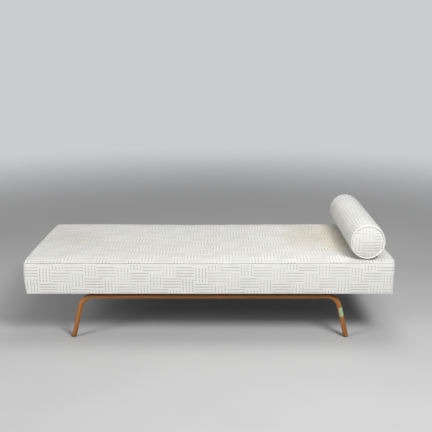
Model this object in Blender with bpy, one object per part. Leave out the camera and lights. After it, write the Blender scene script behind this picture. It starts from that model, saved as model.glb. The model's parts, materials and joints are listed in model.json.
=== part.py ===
"""Daybed with a loose bolster, built piece by piece in metres.

X runs along the length (the bolster lies near +X), Y runs from front to rear, Z is up.
The origin is on the floor, below the middle of the daybed.
"""
import math

import bmesh
import bpy
from mathutils import Matrix, Vector

# Gap between two pieces that touch
CLEAR = 0.0003

# Upholstered body
LENGTH = 1.908
DEPTH = 0.770
UNDERSIDE_Z = 0.257
SIDE_HEIGHT = 0.167
CROWN = 0.0165
CROWN_REACH = 0.080
CORNER_RADIUS = 0.022
CORNER_SPREAD = 1.60
SIDE_BULGE = 0.003
COVER_T = 0.003
TURN_UNDER = 0.060
DUST_T = 0.001
DUST_INSET = 0.008
HESSIAN_T = 0.0012

# Bent frames
BENT_D = 0.026
BEND_RADIUS = 0.067
LEG_LEAN_DEG = 14.0
FOOT_FROM_END = 0.229
FRAME_FROM_FACE = 0.045
BENT_SIDES = 20
BEND_STEPS = 8

# Glides
GLIDE_D = 0.021
GLIDE_T = 0.004
GLIDE_PIN_D = 0.004
GLIDE_PIN_L = 0.014

# Saddle blocks and the screws through them
SADDLE_GAP = 0.013
SADDLE_DEPTH = 0.003
SADDLE_LENGTH = 0.060
SADDLE_W = 0.018
SADDLE_FROM_BEND = 0.070
LEG_SCREW_D = 0.005
LEG_SCREW_HEAD_D = 0.010
LEG_SCREW_HEAD_T = 0.003
LEG_SCREW_SINK = 0.006
LEG_SCREW_BITE = 0.026

# Timber base frame
RAIL_W = 0.062
RAIL_H = 0.050
CROSS_W = 0.045
CROSS_DROP = 0.012
CROSS_FROM_MIDDLE = 0.300
TENON_W = 0.028
TENON_H = 0.020
TENON_L = 0.022
TENON_UP = 0.008
BLOCK_LEG = 0.052
BLOCK_H = 0.032

# Rubber webbing and the splines that wedge its tails in the grooves
STRAP_W = 0.060
STRAP_T = 0.004
STRAP_PITCH = 0.147
STRAP_TAIL = 0.012
SPLINE_W = 0.006
SPLINE_PROUD = 0.001
GROOVE_FROM_CORNER = 0.004

# Bolster
BOLSTER_R = 0.0920
BOLSTER_FRONT_GAP = 0.020
BOLSTER_REAR_GAP = 0.012
BOLSTER_FROM_END = 0.1366
BOLSTER_YAW_DEG = 1.40
BOLSTER_DRAW = 0.004
BOLSTER_DRAW_REACH = 0.035
BOLSTER_DOME = 0.012
WELT_D = 0.007
BOLSTER_SIDES = 40

# Levels and outlines that follow from the sizes above
HALF_L = LENGTH / 2
HALF_D = DEPTH / 2
SEAM_Z = UNDERSIDE_Z + SIDE_HEIGHT
TOP_Z = SEAM_Z + CROWN
FLANGE_Z = UNDERSIDE_Z + DUST_T + CLEAR
RAIL_Z = FLANGE_Z + COVER_T + CLEAR
RAIL_TOP = RAIL_Z + RAIL_H
STRAP_Z = RAIL_TOP + CLEAR
HESSIAN_Z = STRAP_Z + STRAP_T + CLEAR
PAD_Z = HESSIAN_Z + HESSIAN_T + CLEAR
SKIN = COVER_T + CLEAR
FRAME_X = HALF_L - SKIN
FRAME_Y = HALF_D - SKIN
FRAME_CORNER = CORNER_RADIUS - SKIN
BENT_R = BENT_D / 2
BENT_Y = HALF_D - FRAME_FROM_FACE
SADDLE_TOP = UNDERSIDE_Z - CLEAR
SADDLE_SEAT = SADDLE_TOP - SADDLE_GAP
BENT_Z = SADDLE_SEAT - CLEAR - BENT_R
LEG_LEAN = math.radians(LEG_LEAN_DEG)
FOOT_X = HALF_L - FOOT_FROM_END
BEND_TURN = math.pi / 2 - LEG_LEAN
BEND_END_X = FOOT_X - BENT_Z * math.tan(LEG_LEAN) - BEND_RADIUS * math.tan(BEND_TURN / 2)
SADDLE_X = BEND_END_X - SADDLE_FROM_BEND
BOLSTER_YAW = math.radians(BOLSTER_YAW_DEG)
BOLSTER_BARREL = DEPTH - BOLSTER_FRONT_GAP - BOLSTER_REAR_GAP
BOLSTER_X = HALF_L - BOLSTER_FROM_END
BOLSTER_Y = (BOLSTER_FRONT_GAP - BOLSTER_REAR_GAP) / 2
BOLSTER_Z = TOP_Z + CLEAR + BOLSTER_R
FACET_GAP = BOLSTER_R * (1 - math.cos(math.pi / BOLSTER_SIDES))


def clear_scene():
    """Remove every object of the opening scene."""
    for obj in list(bpy.data.objects):
        bpy.data.objects.remove(obj, do_unlink=True)


def make_material(name, colour, roughness, metallic=0.0):
    """Return a Principled material of one colour."""
    mat = bpy.data.materials.new(name)
    mat.use_nodes = True
    shader = mat.node_tree.nodes["Principled BSDF"]
    shader.inputs["Base Color"].default_value = (*colour, 1.0)
    shader.inputs["Roughness"].default_value = roughness
    shader.inputs["Metallic"].default_value = metallic
    return mat


def loft(bm, rings, closed=False):
    """Skin a row of rings with quads; the two ends are capped unless the row is closed."""
    rows = [[bm.verts.new(p) for p in ring] for ring in rings]
    pairs = list(zip(rows, rows[1:]))
    if closed:
        pairs.append((rows[-1], rows[0]))
    for a, b in pairs:
        for i in range(len(a)):
            j = (i + 1) % len(a)
            bm.faces.new((a[i], a[j], b[j], b[i]))
    if not closed:
        bm.faces.new(rows[0])
        bm.faces.new(list(reversed(rows[-1])))


def add_box(bm, low, high):
    """Add a box between two corners."""
    (x0, y0, z0), (x1, y1, z1) = low, high
    foot = [(x0, y0), (x1, y0), (x1, y1), (x0, y1)]
    loft(bm, [[(x, y, z) for x, y in foot] for z in (z0, z1)])


def add_turned(bm, base, along, profile, sides):
    """Add a turned solid: profile is a list of (distance along the axis, radius)."""
    axis = Vector(along).normalized()
    turn = Vector((0, 0, 1)).rotation_difference(axis).to_matrix()
    rings = []
    for level, radius in profile:
        ring = []
        for k in range(sides):
            a = 2 * math.pi * k / sides
            ring.append(Vector(base) + turn @ Vector((radius * math.cos(a), radius * math.sin(a), level)))
        rings.append(ring)
    loft(bm, rings)


def add_prism(bm, outline, axis, low, high):
    """Extrude an outline of (a, b) points along X (a = y, b = z) or along Z (a = x, b = y)."""
    if axis == "x":
        rings = [[(at, a, b) for a, b in outline] for at in (low, high)]
    else:
        rings = [[(a, b, at) for a, b in outline] for at in (low, high)]
    loft(bm, rings)


def finish(name, bm, mat, origin=(0.0, 0.0, 0.0), yaw=0.0, smooth_deg=None):
    """Turn a bmesh in world metres into a named object with its origin at the given point."""
    bmesh.ops.remove_doubles(bm, verts=bm.verts, dist=1e-6)
    bmesh.ops.recalc_face_normals(bm, faces=bm.faces)
    place = Matrix.Translation(origin) @ Matrix.Rotation(yaw, 4, "Z")
    bm.transform(place.inverted())
    if smooth_deg is not None:
        limit = math.radians(smooth_deg)
        for face in bm.faces:
            face.smooth = True
        for edge in bm.edges:
            edge.smooth = len(edge.link_faces) == 2 and edge.calc_face_angle() < limit
    mesh = bpy.data.meshes.new(name)
    bm.to_mesh(mesh)
    bm.free()
    mesh.materials.append(mat)
    obj = bpy.data.objects.new(name, mesh)
    obj.matrix_world = place
    bpy.context.collection.objects.link(obj)
    return obj


def cut_with(obj, label, bm):
    """Subtract a mesh of separate closed bodies from an object."""
    bmesh.ops.recalc_face_normals(bm, faces=bm.faces)
    mesh = bpy.data.meshes.new(obj.name + "_" + label)
    bm.to_mesh(mesh)
    bm.free()
    cutter = bpy.data.objects.new(obj.name + "_" + label, mesh)
    cutter.hide_render = True
    cutter.display_type = "WIRE"
    bpy.context.collection.objects.link(cutter)
    mod = obj.modifiers.new(label, "BOOLEAN")
    mod.operation = "DIFFERENCE"
    mod.solver = "EXACT"
    mod.object = cutter


def drill(obj, label, holes, sides=8):
    """Drill holes given as (start, direction, radius, depth)."""
    bm = bmesh.new()
    for start, along, radius, depth in holes:
        add_turned(bm, start, along, [(0.0, radius), (depth, radius)], sides)
    cut_with(obj, label, bm)


def outline_ring(inset, corner, z, steps=4):
    """Ring of the rounded plan outline, drawn in by inset, with its own corner radius."""
    hx = HALF_L - inset
    hy = HALF_D - inset
    ring = []
    for cx, cy, start in ((1, -1, -90), (1, 1, 0), (-1, 1, 90), (-1, -1, 180)):
        for k in range(steps + 1):
            a = math.radians(start + 90 * k / steps)
            x = cx * (hx - corner) + corner * math.cos(a)
            y = cy * (hy - corner) + corner * math.sin(a)
            ring.append((x, y, z))
    return ring


def crown_rings(skin, steps=7):
    """Rings of the crowned top from the seam up to the flat, at a depth of skin below the outer face."""
    rings = []
    for k in range(steps):
        a = math.pi / 2 * k / (steps - 1)
        run = (CROWN_REACH - skin) * (1 - math.cos(a))
        inset = skin + run
        corner = CORNER_RADIUS - skin + CORNER_SPREAD * run
        rings.append(outline_ring(inset, corner, SEAM_Z + (CROWN - skin) * math.sin(a)))
    return rings


def bent_path():
    """Centre line of a bent frame from the left foot to the right foot, with its directions."""
    half = []
    cx = BEND_END_X
    cz = BENT_Z - BEND_RADIUS
    for k in range(BEND_STEPS + 1):
        a = math.pi / 2 - BEND_TURN * k / BEND_STEPS
        point = (cx + BEND_RADIUS * math.cos(a), cz + BEND_RADIUS * math.sin(a))
        half.append((point, (math.sin(a), -math.cos(a))))
    foot_z = GLIDE_T + CLEAR
    foot = (FOOT_X - foot_z * math.tan(LEG_LEAN), foot_z)
    half.append((foot, half[-1][1]))
    left = [((-p[0], p[1]), (d[0], -d[1])) for p, d in reversed(half)]
    return left + half


def make_bent_frame(name, y, mat):
    """One round bar: rail, two bends and two splayed legs with their feet cut level."""
    rings = []
    path = bent_path()
    for index, (point, direction) in enumerate(path):
        tangent = Vector((direction[0], 0, direction[1]))
        across = Vector((0, 1, 0))
        upward = tangent.cross(across)
        ring = []
        for k in range(BENT_SIDES):
            a = 2 * math.pi * k / BENT_SIDES
            v = Vector((point[0], y, point[1]))
            v += BENT_R * (math.cos(a) * across + math.sin(a) * upward)
            if index in (0, len(path) - 1):
                v -= tangent * ((v.z - point[1]) / tangent.z)
            ring.append(v)
        rings.append(ring)
    bm = bmesh.new()
    loft(bm, rings)
    frame = finish(name, bm, mat, (0.0, y, 0.0), smooth_deg=40)
    shank = LEG_SCREW_D / 2 + CLEAR
    head = LEG_SCREW_HEAD_D / 2 + CLEAR
    pin = GLIDE_PIN_D / 2 + CLEAR
    low = BENT_Z - BENT_R - 0.005
    holes = [((x, y, low), (0, 0, 1), shank, BENT_D + 0.010) for x in (-SADDLE_X, 0.0, SADDLE_X)]
    for side in (-1, 1):
        holes.append(((side * FOOT_X, y, 0.0), (0, 0, 1), pin, GLIDE_T + GLIDE_PIN_L + 2 * CLEAR))
    drill(frame, "holes", holes)
    sinks = [((x, y, low), (0, 0, 1), head, 0.005 + LEG_SCREW_SINK) for x in (-SADDLE_X, 0.0, SADDLE_X)]
    drill(frame, "sinks", sinks, 12)
    return frame


def make_glide(name, x, y, mat):
    """A turned glide with a pin that goes up into the foot."""
    r = GLIDE_D / 2
    pin = GLIDE_PIN_D / 2
    edge = GLIDE_T * 0.35
    profile = [(0.0, r - edge), (edge, r), (GLIDE_T, r), (GLIDE_T, pin), (GLIDE_T + GLIDE_PIN_L, pin)]
    bm = bmesh.new()
    add_turned(bm, (x, y, 0.0), (0, 0, 1), profile, 16)
    return finish(name, bm, mat, (x, y, 0.0), smooth_deg=40)


def make_saddle(name, x, y, mat):
    """A block with a round seat for the bent rail in its underside."""
    half = SADDLE_W / 2
    seat_r = BENT_R + CLEAR
    lip_z = SADDLE_SEAT - SADDLE_DEPTH
    reach = math.sqrt(seat_r ** 2 - (lip_z - BENT_Z) ** 2)
    span = math.asin(reach / seat_r)
    outline = [(y + half, lip_z), (y + half, SADDLE_TOP), (y - half, SADDLE_TOP), (y - half, lip_z)]
    for k in range(7):
        a = -span + 2 * span * k / 6
        outline.append((y + seat_r * math.sin(a), BENT_Z + seat_r * math.cos(a)))
    bm = bmesh.new()
    add_prism(bm, outline, "x", x - SADDLE_LENGTH / 2, x + SADDLE_LENGTH / 2)
    block = finish(name, bm, mat, (x, y, SADDLE_TOP))
    hole = ((x, y, lip_z - 0.005), (0, 0, 1), LEG_SCREW_D / 2 + CLEAR, SADDLE_GAP + SADDLE_DEPTH + 0.010)
    drill(block, "hole", [hole])
    return block


def add_screw(bm, seat, along, shank_d, head_d, head_t, length):
    """Add a screw whose head rests on the seat and whose shank goes on from there."""
    axis = Vector(along).normalized()
    base = Vector(seat) - axis * (head_t + CLEAR)
    r = shank_d / 2
    tip = min(2 * r, length / 4)
    total = head_t + CLEAR + length
    profile = [(0.0, head_d / 2), (head_t, head_d / 2), (head_t, r), (total - tip, r), (total, r * 0.3)]
    add_turned(bm, base, along, profile, 8)


def make_leg_screw(name, x, y, mat):
    """A screw through the bent rail, the saddle block and the cloth into the base frame."""
    bm = bmesh.new()
    seat_z = BENT_Z - BENT_R + LEG_SCREW_SINK
    length = RAIL_Z + LEG_SCREW_BITE - seat_z
    add_screw(bm, (x, y, seat_z), (0, 0, 1), LEG_SCREW_D, LEG_SCREW_HEAD_D, LEG_SCREW_HEAD_T, length)
    return finish(name, bm, mat, (x, y, seat_z), smooth_deg=40)


def groove_lines():
    """Distances from the rail's outer face: groove start, spline end, tail start, groove end."""
    start = FRAME_CORNER + GROOVE_FROM_CORNER
    spline_end = start + CLEAR + SPLINE_W
    tail_start = spline_end + CLEAR
    return start, spline_end, tail_start, tail_start + STRAP_T + CLEAR


def round_ends(bm, x, y, radius):
    """Round the upright edges of a rail that meet the rounded corners of the cover."""
    edges = []
    for edge in bm.edges:
        a, b = edge.verts
        upright = abs(a.co.x - b.co.x) < 1e-6 and abs(a.co.y - b.co.y) < 1e-6
        at_corner = abs(abs(a.co.x) - x) < 1e-6 and abs(a.co.y - y) < 1e-6
        if upright and at_corner:
            edges.append(edge)
    bmesh.ops.bevel(bm, geom=edges, offset=radius, segments=4, profile=0.5, affect="EDGES")


def tenon_box(middle, side):
    """Low and high corners of a tenon at one end of a rail that runs from front to rear."""
    z = RAIL_Z + TENON_UP
    root = FRAME_Y - RAIL_W - CLEAR
    ys = sorted((side * root, side * (root + TENON_L)))
    return (middle - TENON_W / 2, ys[0], z), (middle + TENON_W / 2, ys[1], z + TENON_H)


def mortises(side):
    """Boxes cut into a long rail for the tenons of the end rails and the cross rails."""
    bm = bmesh.new()
    for middle in tenon_middles():
        low, high = tenon_box(middle, side)
        add_box(bm, [v - CLEAR for v in low], [v + CLEAR for v in high])
    return bm


def tenon_middles():
    """X of every rail that is tenoned into the long rails."""
    end = FRAME_X - RAIL_W / 2
    return [-end, -CROSS_FROM_MIDDLE, CROSS_FROM_MIDDLE, end]


def leg_screw_holes(y):
    """Holes for the leg frame screws, from below the dust cover up into the rail."""
    r = LEG_SCREW_D / 2 + CLEAR
    low = UNDERSIDE_Z - 0.004
    depth = RAIL_Z + LEG_SCREW_BITE + CLEAR - low
    return [((x, y, low), (0, 0, 1), r, depth) for x in (-SADDLE_X, 0.0, SADDLE_X)]


def make_long_rail(name, side, mat):
    """Front or rear rail: grooved for the webbing, mortised for the other rails."""
    start, _, _, stop = groove_lines()
    floor = RAIL_TOP - STRAP_TAIL - CLEAR
    section = [
        (0.0, RAIL_Z),
        (RAIL_W, RAIL_Z),
        (RAIL_W, RAIL_TOP),
        (stop, RAIL_TOP),
        (stop, floor),
        (start, floor),
        (start, RAIL_TOP),
        (0.0, RAIL_TOP),
    ]
    outline = [(side * (FRAME_Y - o), z) for o, z in section]
    bm = bmesh.new()
    add_prism(bm, outline, "x", -FRAME_X, FRAME_X)
    round_ends(bm, FRAME_X, side * FRAME_Y, FRAME_CORNER)
    rail = finish(name, bm, mat, (0.0, side * (FRAME_Y - RAIL_W / 2), RAIL_Z))
    drill(rail, "screw_holes", leg_screw_holes(side * BENT_Y))
    cut_with(rail, "mortises", mortises(side))
    return rail


def make_tenoned_rail(name, middle, width, top, mat):
    """End rail or cross rail with a stub tenon at each end."""
    reach = FRAME_Y - RAIL_W - CLEAR
    (tx0, _, tz0), (tx1, _, tz1) = tenon_box(middle, 1)
    tenon = [(tx0, tz0), (tx1, tz0), (tx1, tz1), (tx0, tz1)]
    x0 = middle - width / 2
    x1 = middle + width / 2
    body = [(x0, RAIL_Z), (x1, RAIL_Z), (x1, top), (x0, top)]
    rings = []
    for y, shape in (
        (-reach - TENON_L, tenon), (-reach, tenon), (-reach, body),
        (reach, body), (reach, tenon), (reach + TENON_L, tenon),
    ):
        rings.append([(x, y, z) for x, z in shape])
    bm = bmesh.new()
    loft(bm, rings)
    return finish(name, bm, mat, (middle, 0.0, RAIL_Z))


def make_corner_block(name, end, side, mat):
    """Triangular glue block in a corner of the base frame."""
    inner_x = FRAME_X - RAIL_W - CLEAR
    inner_y = FRAME_Y - RAIL_W - CLEAR
    top = RAIL_TOP - CLEAR
    outline = [
        (end * inner_x, side * inner_y),
        (end * (inner_x - BLOCK_LEG), side * inner_y),
        (end * inner_x, side * (inner_y - BLOCK_LEG)),
    ]
    bm = bmesh.new()
    add_prism(bm, outline, "z", top - BLOCK_H, top)
    return finish(name, bm, mat, (end * inner_x, side * inner_y, top - BLOCK_H))


def strap_places():
    """X of every webbing strap, spread evenly between the end rails."""
    room = 2 * (FRAME_X - RAIL_W)
    count = max(2, int(room / STRAP_PITCH + 1e-6))
    return [-room / 2 + room * (k + 0.5) / count for k in range(count)]


def make_straps(mat):
    """Rubber straps with their tails turned down into the grooves."""
    _, _, tail_start, _ = groove_lines()
    top = STRAP_Z + STRAP_T
    tail = RAIL_TOP - STRAP_TAIL
    outer = FRAME_Y - tail_start
    inner = outer - STRAP_T
    outline = [
        (-outer, top), (-outer, tail), (-inner, tail), (-inner, STRAP_Z),
        (inner, STRAP_Z), (inner, tail), (outer, tail), (outer, top),
    ]
    for number, x in enumerate(strap_places(), 1):
        bm = bmesh.new()
        add_prism(bm, outline, "x", x - STRAP_W / 2, x + STRAP_W / 2)
        finish(f"webbing_strap_{number:02d}", bm, mat, (x, 0.0, STRAP_Z))


def make_spline(name, side, mat):
    """Strip that wedges all strap tails of one long rail in their groove."""
    start, spline_end, _, _ = groove_lines()
    ys = sorted((side * (FRAME_Y - start - CLEAR), side * (FRAME_Y - spline_end)))
    reach = FRAME_X - RAIL_W
    bm = bmesh.new()
    add_box(bm, (-reach, ys[0], RAIL_TOP - STRAP_TAIL), (reach, ys[1], RAIL_TOP + SPLINE_PROUD))
    return finish(name, bm, mat, (0.0, ys[0], RAIL_TOP - STRAP_TAIL))


def make_pad(mat):
    """Foam block that fills the body from the hessian to the top cover."""
    skin = SKIN
    inner = CORNER_RADIUS - skin
    middle = (PAD_Z + SEAM_Z) / 2
    bulge = SIDE_BULGE * cover_bulge(middle)
    rings = [
        outline_ring(skin, inner, PAD_Z),
        outline_ring(skin - bulge, inner + bulge, middle),
    ]
    rings += crown_rings(skin)
    bm = bmesh.new()
    loft(bm, rings)
    return finish("foam_pad", bm, mat, (0.0, 0.0, PAD_Z), smooth_deg=50)


def cover_bulge(z):
    """Share of the side bulge at a height: nothing at the rail and at the seam."""
    t = (z - RAIL_TOP) / (SEAM_Z - RAIL_TOP)
    return math.sin(math.pi * min(max(t, 0.0), 1.0))


def make_hessian(mat):
    """Flat sheet between the webbing and the foam."""
    bm = bmesh.new()
    loft(bm, [outline_ring(SKIN, FRAME_CORNER, z) for z in (HESSIAN_Z, HESSIAN_Z + HESSIAN_T)])
    return finish("hessian_sheet", bm, mat, (0.0, 0.0, HESSIAN_Z))


def make_top_cover(mat):
    """Crowned top panel, sewn to the boxing along the seam."""
    outer = crown_rings(0.0)
    inner = crown_rings(COVER_T)
    lift = CLEAR / 2
    outer[0] = [(x, y, z + lift) for x, y, z in outer[0]]
    inner[0] = [(x, y, z + lift) for x, y, z in inner[0]]
    bm = bmesh.new()
    loft(bm, list(reversed(outer)) + inner)
    return finish("top_cover", bm, mat, (0.0, 0.0, SEAM_Z), smooth_deg=50)


def panel_point(inset, step, along_x, side, end_shift):
    """Plan point of a boxing panel: step runs from the left mitre (-4) to the right mitre (+4)."""
    half_run, half_face = (HALF_L, HALF_D) if along_x else (HALF_D, HALF_L)
    sign = -1 if step < 0 else 1
    a = math.radians(45) * (abs(step) - 1) / 3
    r = CORNER_RADIUS
    if inset < r:
        run = half_run - r + (r - inset) * math.sin(a)
        face = half_face - r + (r - inset) * math.cos(a)
        moved = abs(step) == 4
    else:
        run = half_run - inset
        face = half_face - inset
        moved = True
    if moved:
        run -= end_shift
        face += end_shift
    if along_x:
        return sign * run, side * face
    return side * face, sign * run


def make_panel(name, along_x, side, mat):
    """One boxing panel: the upright wall and the edge that is turned under the base."""
    shift = CLEAR / 2 * math.sqrt(0.5)
    t = COVER_T
    top = SEAM_Z - CLEAR / 2
    middle = (PAD_Z + SEAM_Z) / 2
    b = SIDE_BULGE * cover_bulge(middle)
    section = [
        (0.0, FLANGE_Z), (0.0, RAIL_TOP), (-b, middle), (0.0, top),
        (t, top), (t - b, middle), (t, RAIL_TOP), (t, FLANGE_Z + t),
        (TURN_UNDER, FLANGE_Z + t), (TURN_UNDER, FLANGE_Z),
    ]
    rings = []
    for step in (-4, -3, -2, -1, 1, 2, 3, 4):
        ring = []
        for inset, z in section:
            x, y = panel_point(inset, step, along_x, side, shift)
            ring.append((x, y, z))
        rings.append(ring)
    bm = bmesh.new()
    loft(bm, rings)
    face = side * (HALF_D if along_x else HALF_L)
    origin = (0.0, face, FLANGE_Z) if along_x else (face, 0.0, FLANGE_Z)
    panel = finish(name, bm, mat, origin, smooth_deg=40)
    if along_x:
        drill(panel, "screw_holes", leg_screw_holes(side * BENT_Y))
    return panel


def make_dust_cover(mat):
    """Thin cloth that closes the underside."""
    corner = max(CORNER_RADIUS - DUST_INSET, 0.004)
    bm = bmesh.new()
    loft(bm, [outline_ring(DUST_INSET, corner, z) for z in (UNDERSIDE_Z, UNDERSIDE_Z + DUST_T)])
    cover = finish("dust_cover", bm, mat, (0.0, 0.0, UNDERSIDE_Z))
    drill(cover, "screw_holes", leg_screw_holes(-BENT_Y) + leg_screw_holes(BENT_Y))
    return cover


def bolster_place():
    """Matrix from the bolster's own frame (axis along its Y) to the daybed."""
    return Matrix.Translation((BOLSTER_X, 0.0, BOLSTER_Z)) @ Matrix.Rotation(-BOLSTER_YAW, 4, "Z")


def bolster_ring(along, radius):
    """Ring about the bolster's axis in daybed coordinates."""
    place = bolster_place()
    ring = []
    for k in range(BOLSTER_SIDES):
        a = 2 * math.pi * k / BOLSTER_SIDES
        ring.append(place @ Vector((radius * math.cos(a), BOLSTER_Y + along, radius * math.sin(a))))
    return ring


def bolster_object(name, rings, mat, closed=False):
    """A piece of the bolster, with its origin on the bolster's axis."""
    bm = bmesh.new()
    loft(bm, rings, closed)
    origin = bolster_place() @ Vector((0.0, BOLSTER_Y, 0.0))
    return finish(name, bm, mat, origin, -BOLSTER_YAW, smooth_deg=50)


def bolster_profile(skin):
    """(distance along, radius) of the barrel from rear to front at a depth of skin."""
    half = BOLSTER_BARREL / 2
    stations = []
    for k in range(5):
        t = k / 4
        along = half - BOLSTER_DRAW_REACH * t
        radius = BOLSTER_R - BOLSTER_DRAW * (1 - t) ** 2
        stations.append((along, radius - skin))
    return stations + [(-along, radius) for along, radius in reversed(stations)]


def make_bolster(mats):
    """Core, barrel, two domed ends and two welts of the loose bolster."""
    outer = bolster_profile(0.0)
    inner = bolster_profile(COVER_T)
    rings = [bolster_ring(*p) for p in outer] + [bolster_ring(*p) for p in reversed(inner)]
    bolster_object("bolster_barrel", rings, mats["cloth"], True)
    welt_r = WELT_D / 2
    rim = BOLSTER_R - BOLSTER_DRAW
    welt_y = BOLSTER_BARREL / 2 + CLEAR + welt_r
    disc_r = rim - WELT_D - CLEAR
    dome = [(disc_r * t, BOLSTER_DOME * (1 - t ** 2.4)) for t in (0.04, 0.35, 0.65, 0.88, 1.0)]
    cap = [bolster_ring(BOLSTER_BARREL / 2 + h, r) for r, h in dome]
    foot = [bolster_ring(-BOLSTER_BARREL / 2 - h, r) for r, h in reversed(dome)]
    body = [bolster_ring(*p) for p in bolster_profile(COVER_T + FACET_GAP + CLEAR)]
    bolster_object("bolster_core", cap + body + foot, mats["filling"])
    for side, word in ((-1, "front"), (1, "rear")):
        rings = []
        for k in range(8):
            a = 2 * math.pi * k / 8
            rings.append(bolster_ring(side * (welt_y + welt_r * math.cos(a)), rim - welt_r + welt_r * math.sin(a)))
        bolster_object(f"bolster_{word}_welt", rings, mats["cloth"], True)
        base = BOLSTER_BARREL / 2 + CLEAR
        outer = [bolster_ring(side * (base + COVER_T + h), r) for r, h in dome]
        inner = [bolster_ring(side * (base + h), r) for r, h in reversed(dome)]
        bolster_object(f"bolster_{word}_end", outer + inner, mats["cloth"])


def main():
    clear_scene()
    mats = {
        "beech": make_material("bent_beech", (0.40, 0.19, 0.07), 0.42),
        "stained": make_material("stained_wood", (0.045, 0.034, 0.026), 0.60),
        "timber": make_material("frame_timber", (0.62, 0.44, 0.26), 0.70),
        "cloth": make_material("woven_cloth", (0.80, 0.79, 0.74), 0.90),
        "dust": make_material("dust_cloth", (0.05, 0.05, 0.05), 0.95),
        "hessian": make_material("hessian_cloth", (0.42, 0.30, 0.17), 0.95),
        "foam": make_material("latex_foam", (0.78, 0.70, 0.50), 0.90),
        "filling": make_material("bolster_filling", (0.82, 0.81, 0.78), 0.95),
        "rubber": make_material("strap_rubber", (0.10, 0.07, 0.05), 0.85),
        "steel": make_material("zinc_steel", (0.55, 0.55, 0.56), 0.35, 1.0),
        "glide": make_material("glide_steel", (0.12, 0.11, 0.10), 0.45, 1.0),
    }
    make_bent_frame("front_bent_frame", -BENT_Y, mats["beech"])
    make_bent_frame("rear_bent_frame", BENT_Y, mats["beech"])
    for row, side in (("front", -1), ("rear", 1)):
        make_glide(f"{row}_left_glide", -FOOT_X, side * BENT_Y, mats["glide"])
        make_glide(f"{row}_right_glide", FOOT_X, side * BENT_Y, mats["glide"])
        for word, x in (("left", -SADDLE_X), ("middle", 0.0), ("right", SADDLE_X)):
            make_saddle(f"{row}_{word}_saddle_block", x, side * BENT_Y, mats["stained"])
            make_leg_screw(f"{row}_{word}_frame_screw", x, side * BENT_Y, mats["steel"])
        make_long_rail(f"{row}_rail", side, mats["timber"])
        make_spline(f"{row}_webbing_spline", side, mats["timber"])
        for word, end in (("left", -1), ("right", 1)):
            make_corner_block(f"{row}_{word}_corner_block", end, side, mats["timber"])
        make_panel(f"{row}_cover", True, side, mats["cloth"])
    for word, end in (("left", -1), ("right", 1)):
        make_tenoned_rail(f"{word}_end_rail", end * (FRAME_X - RAIL_W / 2), RAIL_W, RAIL_TOP, mats["timber"])
        cross_top = RAIL_TOP - CROSS_DROP
        make_tenoned_rail(f"{word}_cross_rail", end * CROSS_FROM_MIDDLE, CROSS_W, cross_top, mats["timber"])
        make_panel(f"{word}_cover", False, end, mats["cloth"])
    make_straps(mats["rubber"])
    make_hessian(mats["hessian"])
    make_pad(mats["foam"])
    make_top_cover(mats["cloth"])
    make_dust_cover(mats["dust"])
    make_bolster(mats)


main()
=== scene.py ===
"""Looks of a daybed with a loose bolster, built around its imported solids.

Sizes are metres in the frame of the solids: X along the daybed, Y from front to rear, Z up.
"""

import json
import math

import bmesh
import bpy
import numpy as np
from bpy.props import FloatProperty, FloatVectorProperty, IntProperty, PointerProperty
from mathutils import Matrix, Vector, noise


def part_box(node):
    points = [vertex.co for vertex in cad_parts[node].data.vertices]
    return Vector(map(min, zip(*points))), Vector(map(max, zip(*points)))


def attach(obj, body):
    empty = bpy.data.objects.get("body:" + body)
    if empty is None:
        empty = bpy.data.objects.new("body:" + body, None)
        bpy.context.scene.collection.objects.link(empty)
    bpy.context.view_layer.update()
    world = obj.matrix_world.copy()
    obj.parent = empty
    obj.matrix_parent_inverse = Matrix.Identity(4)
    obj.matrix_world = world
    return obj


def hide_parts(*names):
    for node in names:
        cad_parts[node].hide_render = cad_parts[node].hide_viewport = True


bl_info = {
    "name": "Daybed looks",
    "version": (1, 0, 0),
    "blender": (4, 5, 0),
    "location": "View3D > Sidebar > Daybed",
    "description": "Dresses the solids of a daybed in cloth, bent wood and metal",
    "category": "Object",
}

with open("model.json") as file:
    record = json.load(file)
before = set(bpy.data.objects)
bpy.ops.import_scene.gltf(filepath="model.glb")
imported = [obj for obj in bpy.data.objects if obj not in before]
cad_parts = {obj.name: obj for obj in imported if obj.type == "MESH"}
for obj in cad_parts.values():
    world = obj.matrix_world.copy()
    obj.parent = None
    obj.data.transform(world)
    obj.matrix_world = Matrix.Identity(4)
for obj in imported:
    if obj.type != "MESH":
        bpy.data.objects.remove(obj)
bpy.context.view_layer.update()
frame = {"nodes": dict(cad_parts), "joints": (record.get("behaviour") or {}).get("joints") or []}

# Places and sizes that the solids give
TOP_LOW, TOP_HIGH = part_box("top_cover")
HALF_L = TOP_HIGH.x
HALF_D = TOP_HIGH.y
SEAM_Z = TOP_LOW.z
TOP_Z = TOP_HIGH.z
UNDER_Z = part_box("front_cover")[0].z
BAR_LOW, BAR_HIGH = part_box("front_bent_frame")
BAR_R = (BAR_HIGH.y - BAR_LOW.y) / 2
BAR_Z = BAR_HIGH.z - BAR_R
BAR_Y = -(BAR_HIGH.y + BAR_LOW.y) / 2
FOOT_X = sum(v.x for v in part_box("front_right_glide")) / 2
FOOT_Z = BAR_LOW.z
ROLL = next(j for j in frame["joints"] if j["name"] == "bolster_roll")
ROLL_CENTRE = Vector(ROLL["pos_m"])
ROLL_AXIS = Vector(ROLL["axis"]).normalized()
ROLL_OUT = ROLL_AXIS.cross(Vector((0, 0, 1))).normalized()
ROLL_UP = ROLL_AXIS.cross(ROLL_OUT) * -1

# Words in the names of the solids
PANELS = ("top", "front", "right", "rear", "left")
ROWS = ("front", "rear")
SPOTS = ("left", "middle", "right")

# Woven pattern: its start along each panel, its shift across the top and up the sides
PATTERN_START = {"top": 0.592, "front": 1.048, "right": 0.2, "rear": 0.3, "left": 0.1}
TOP_SHIFT = 0.0186
SIDE_SHIFT = 0.0112
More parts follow.
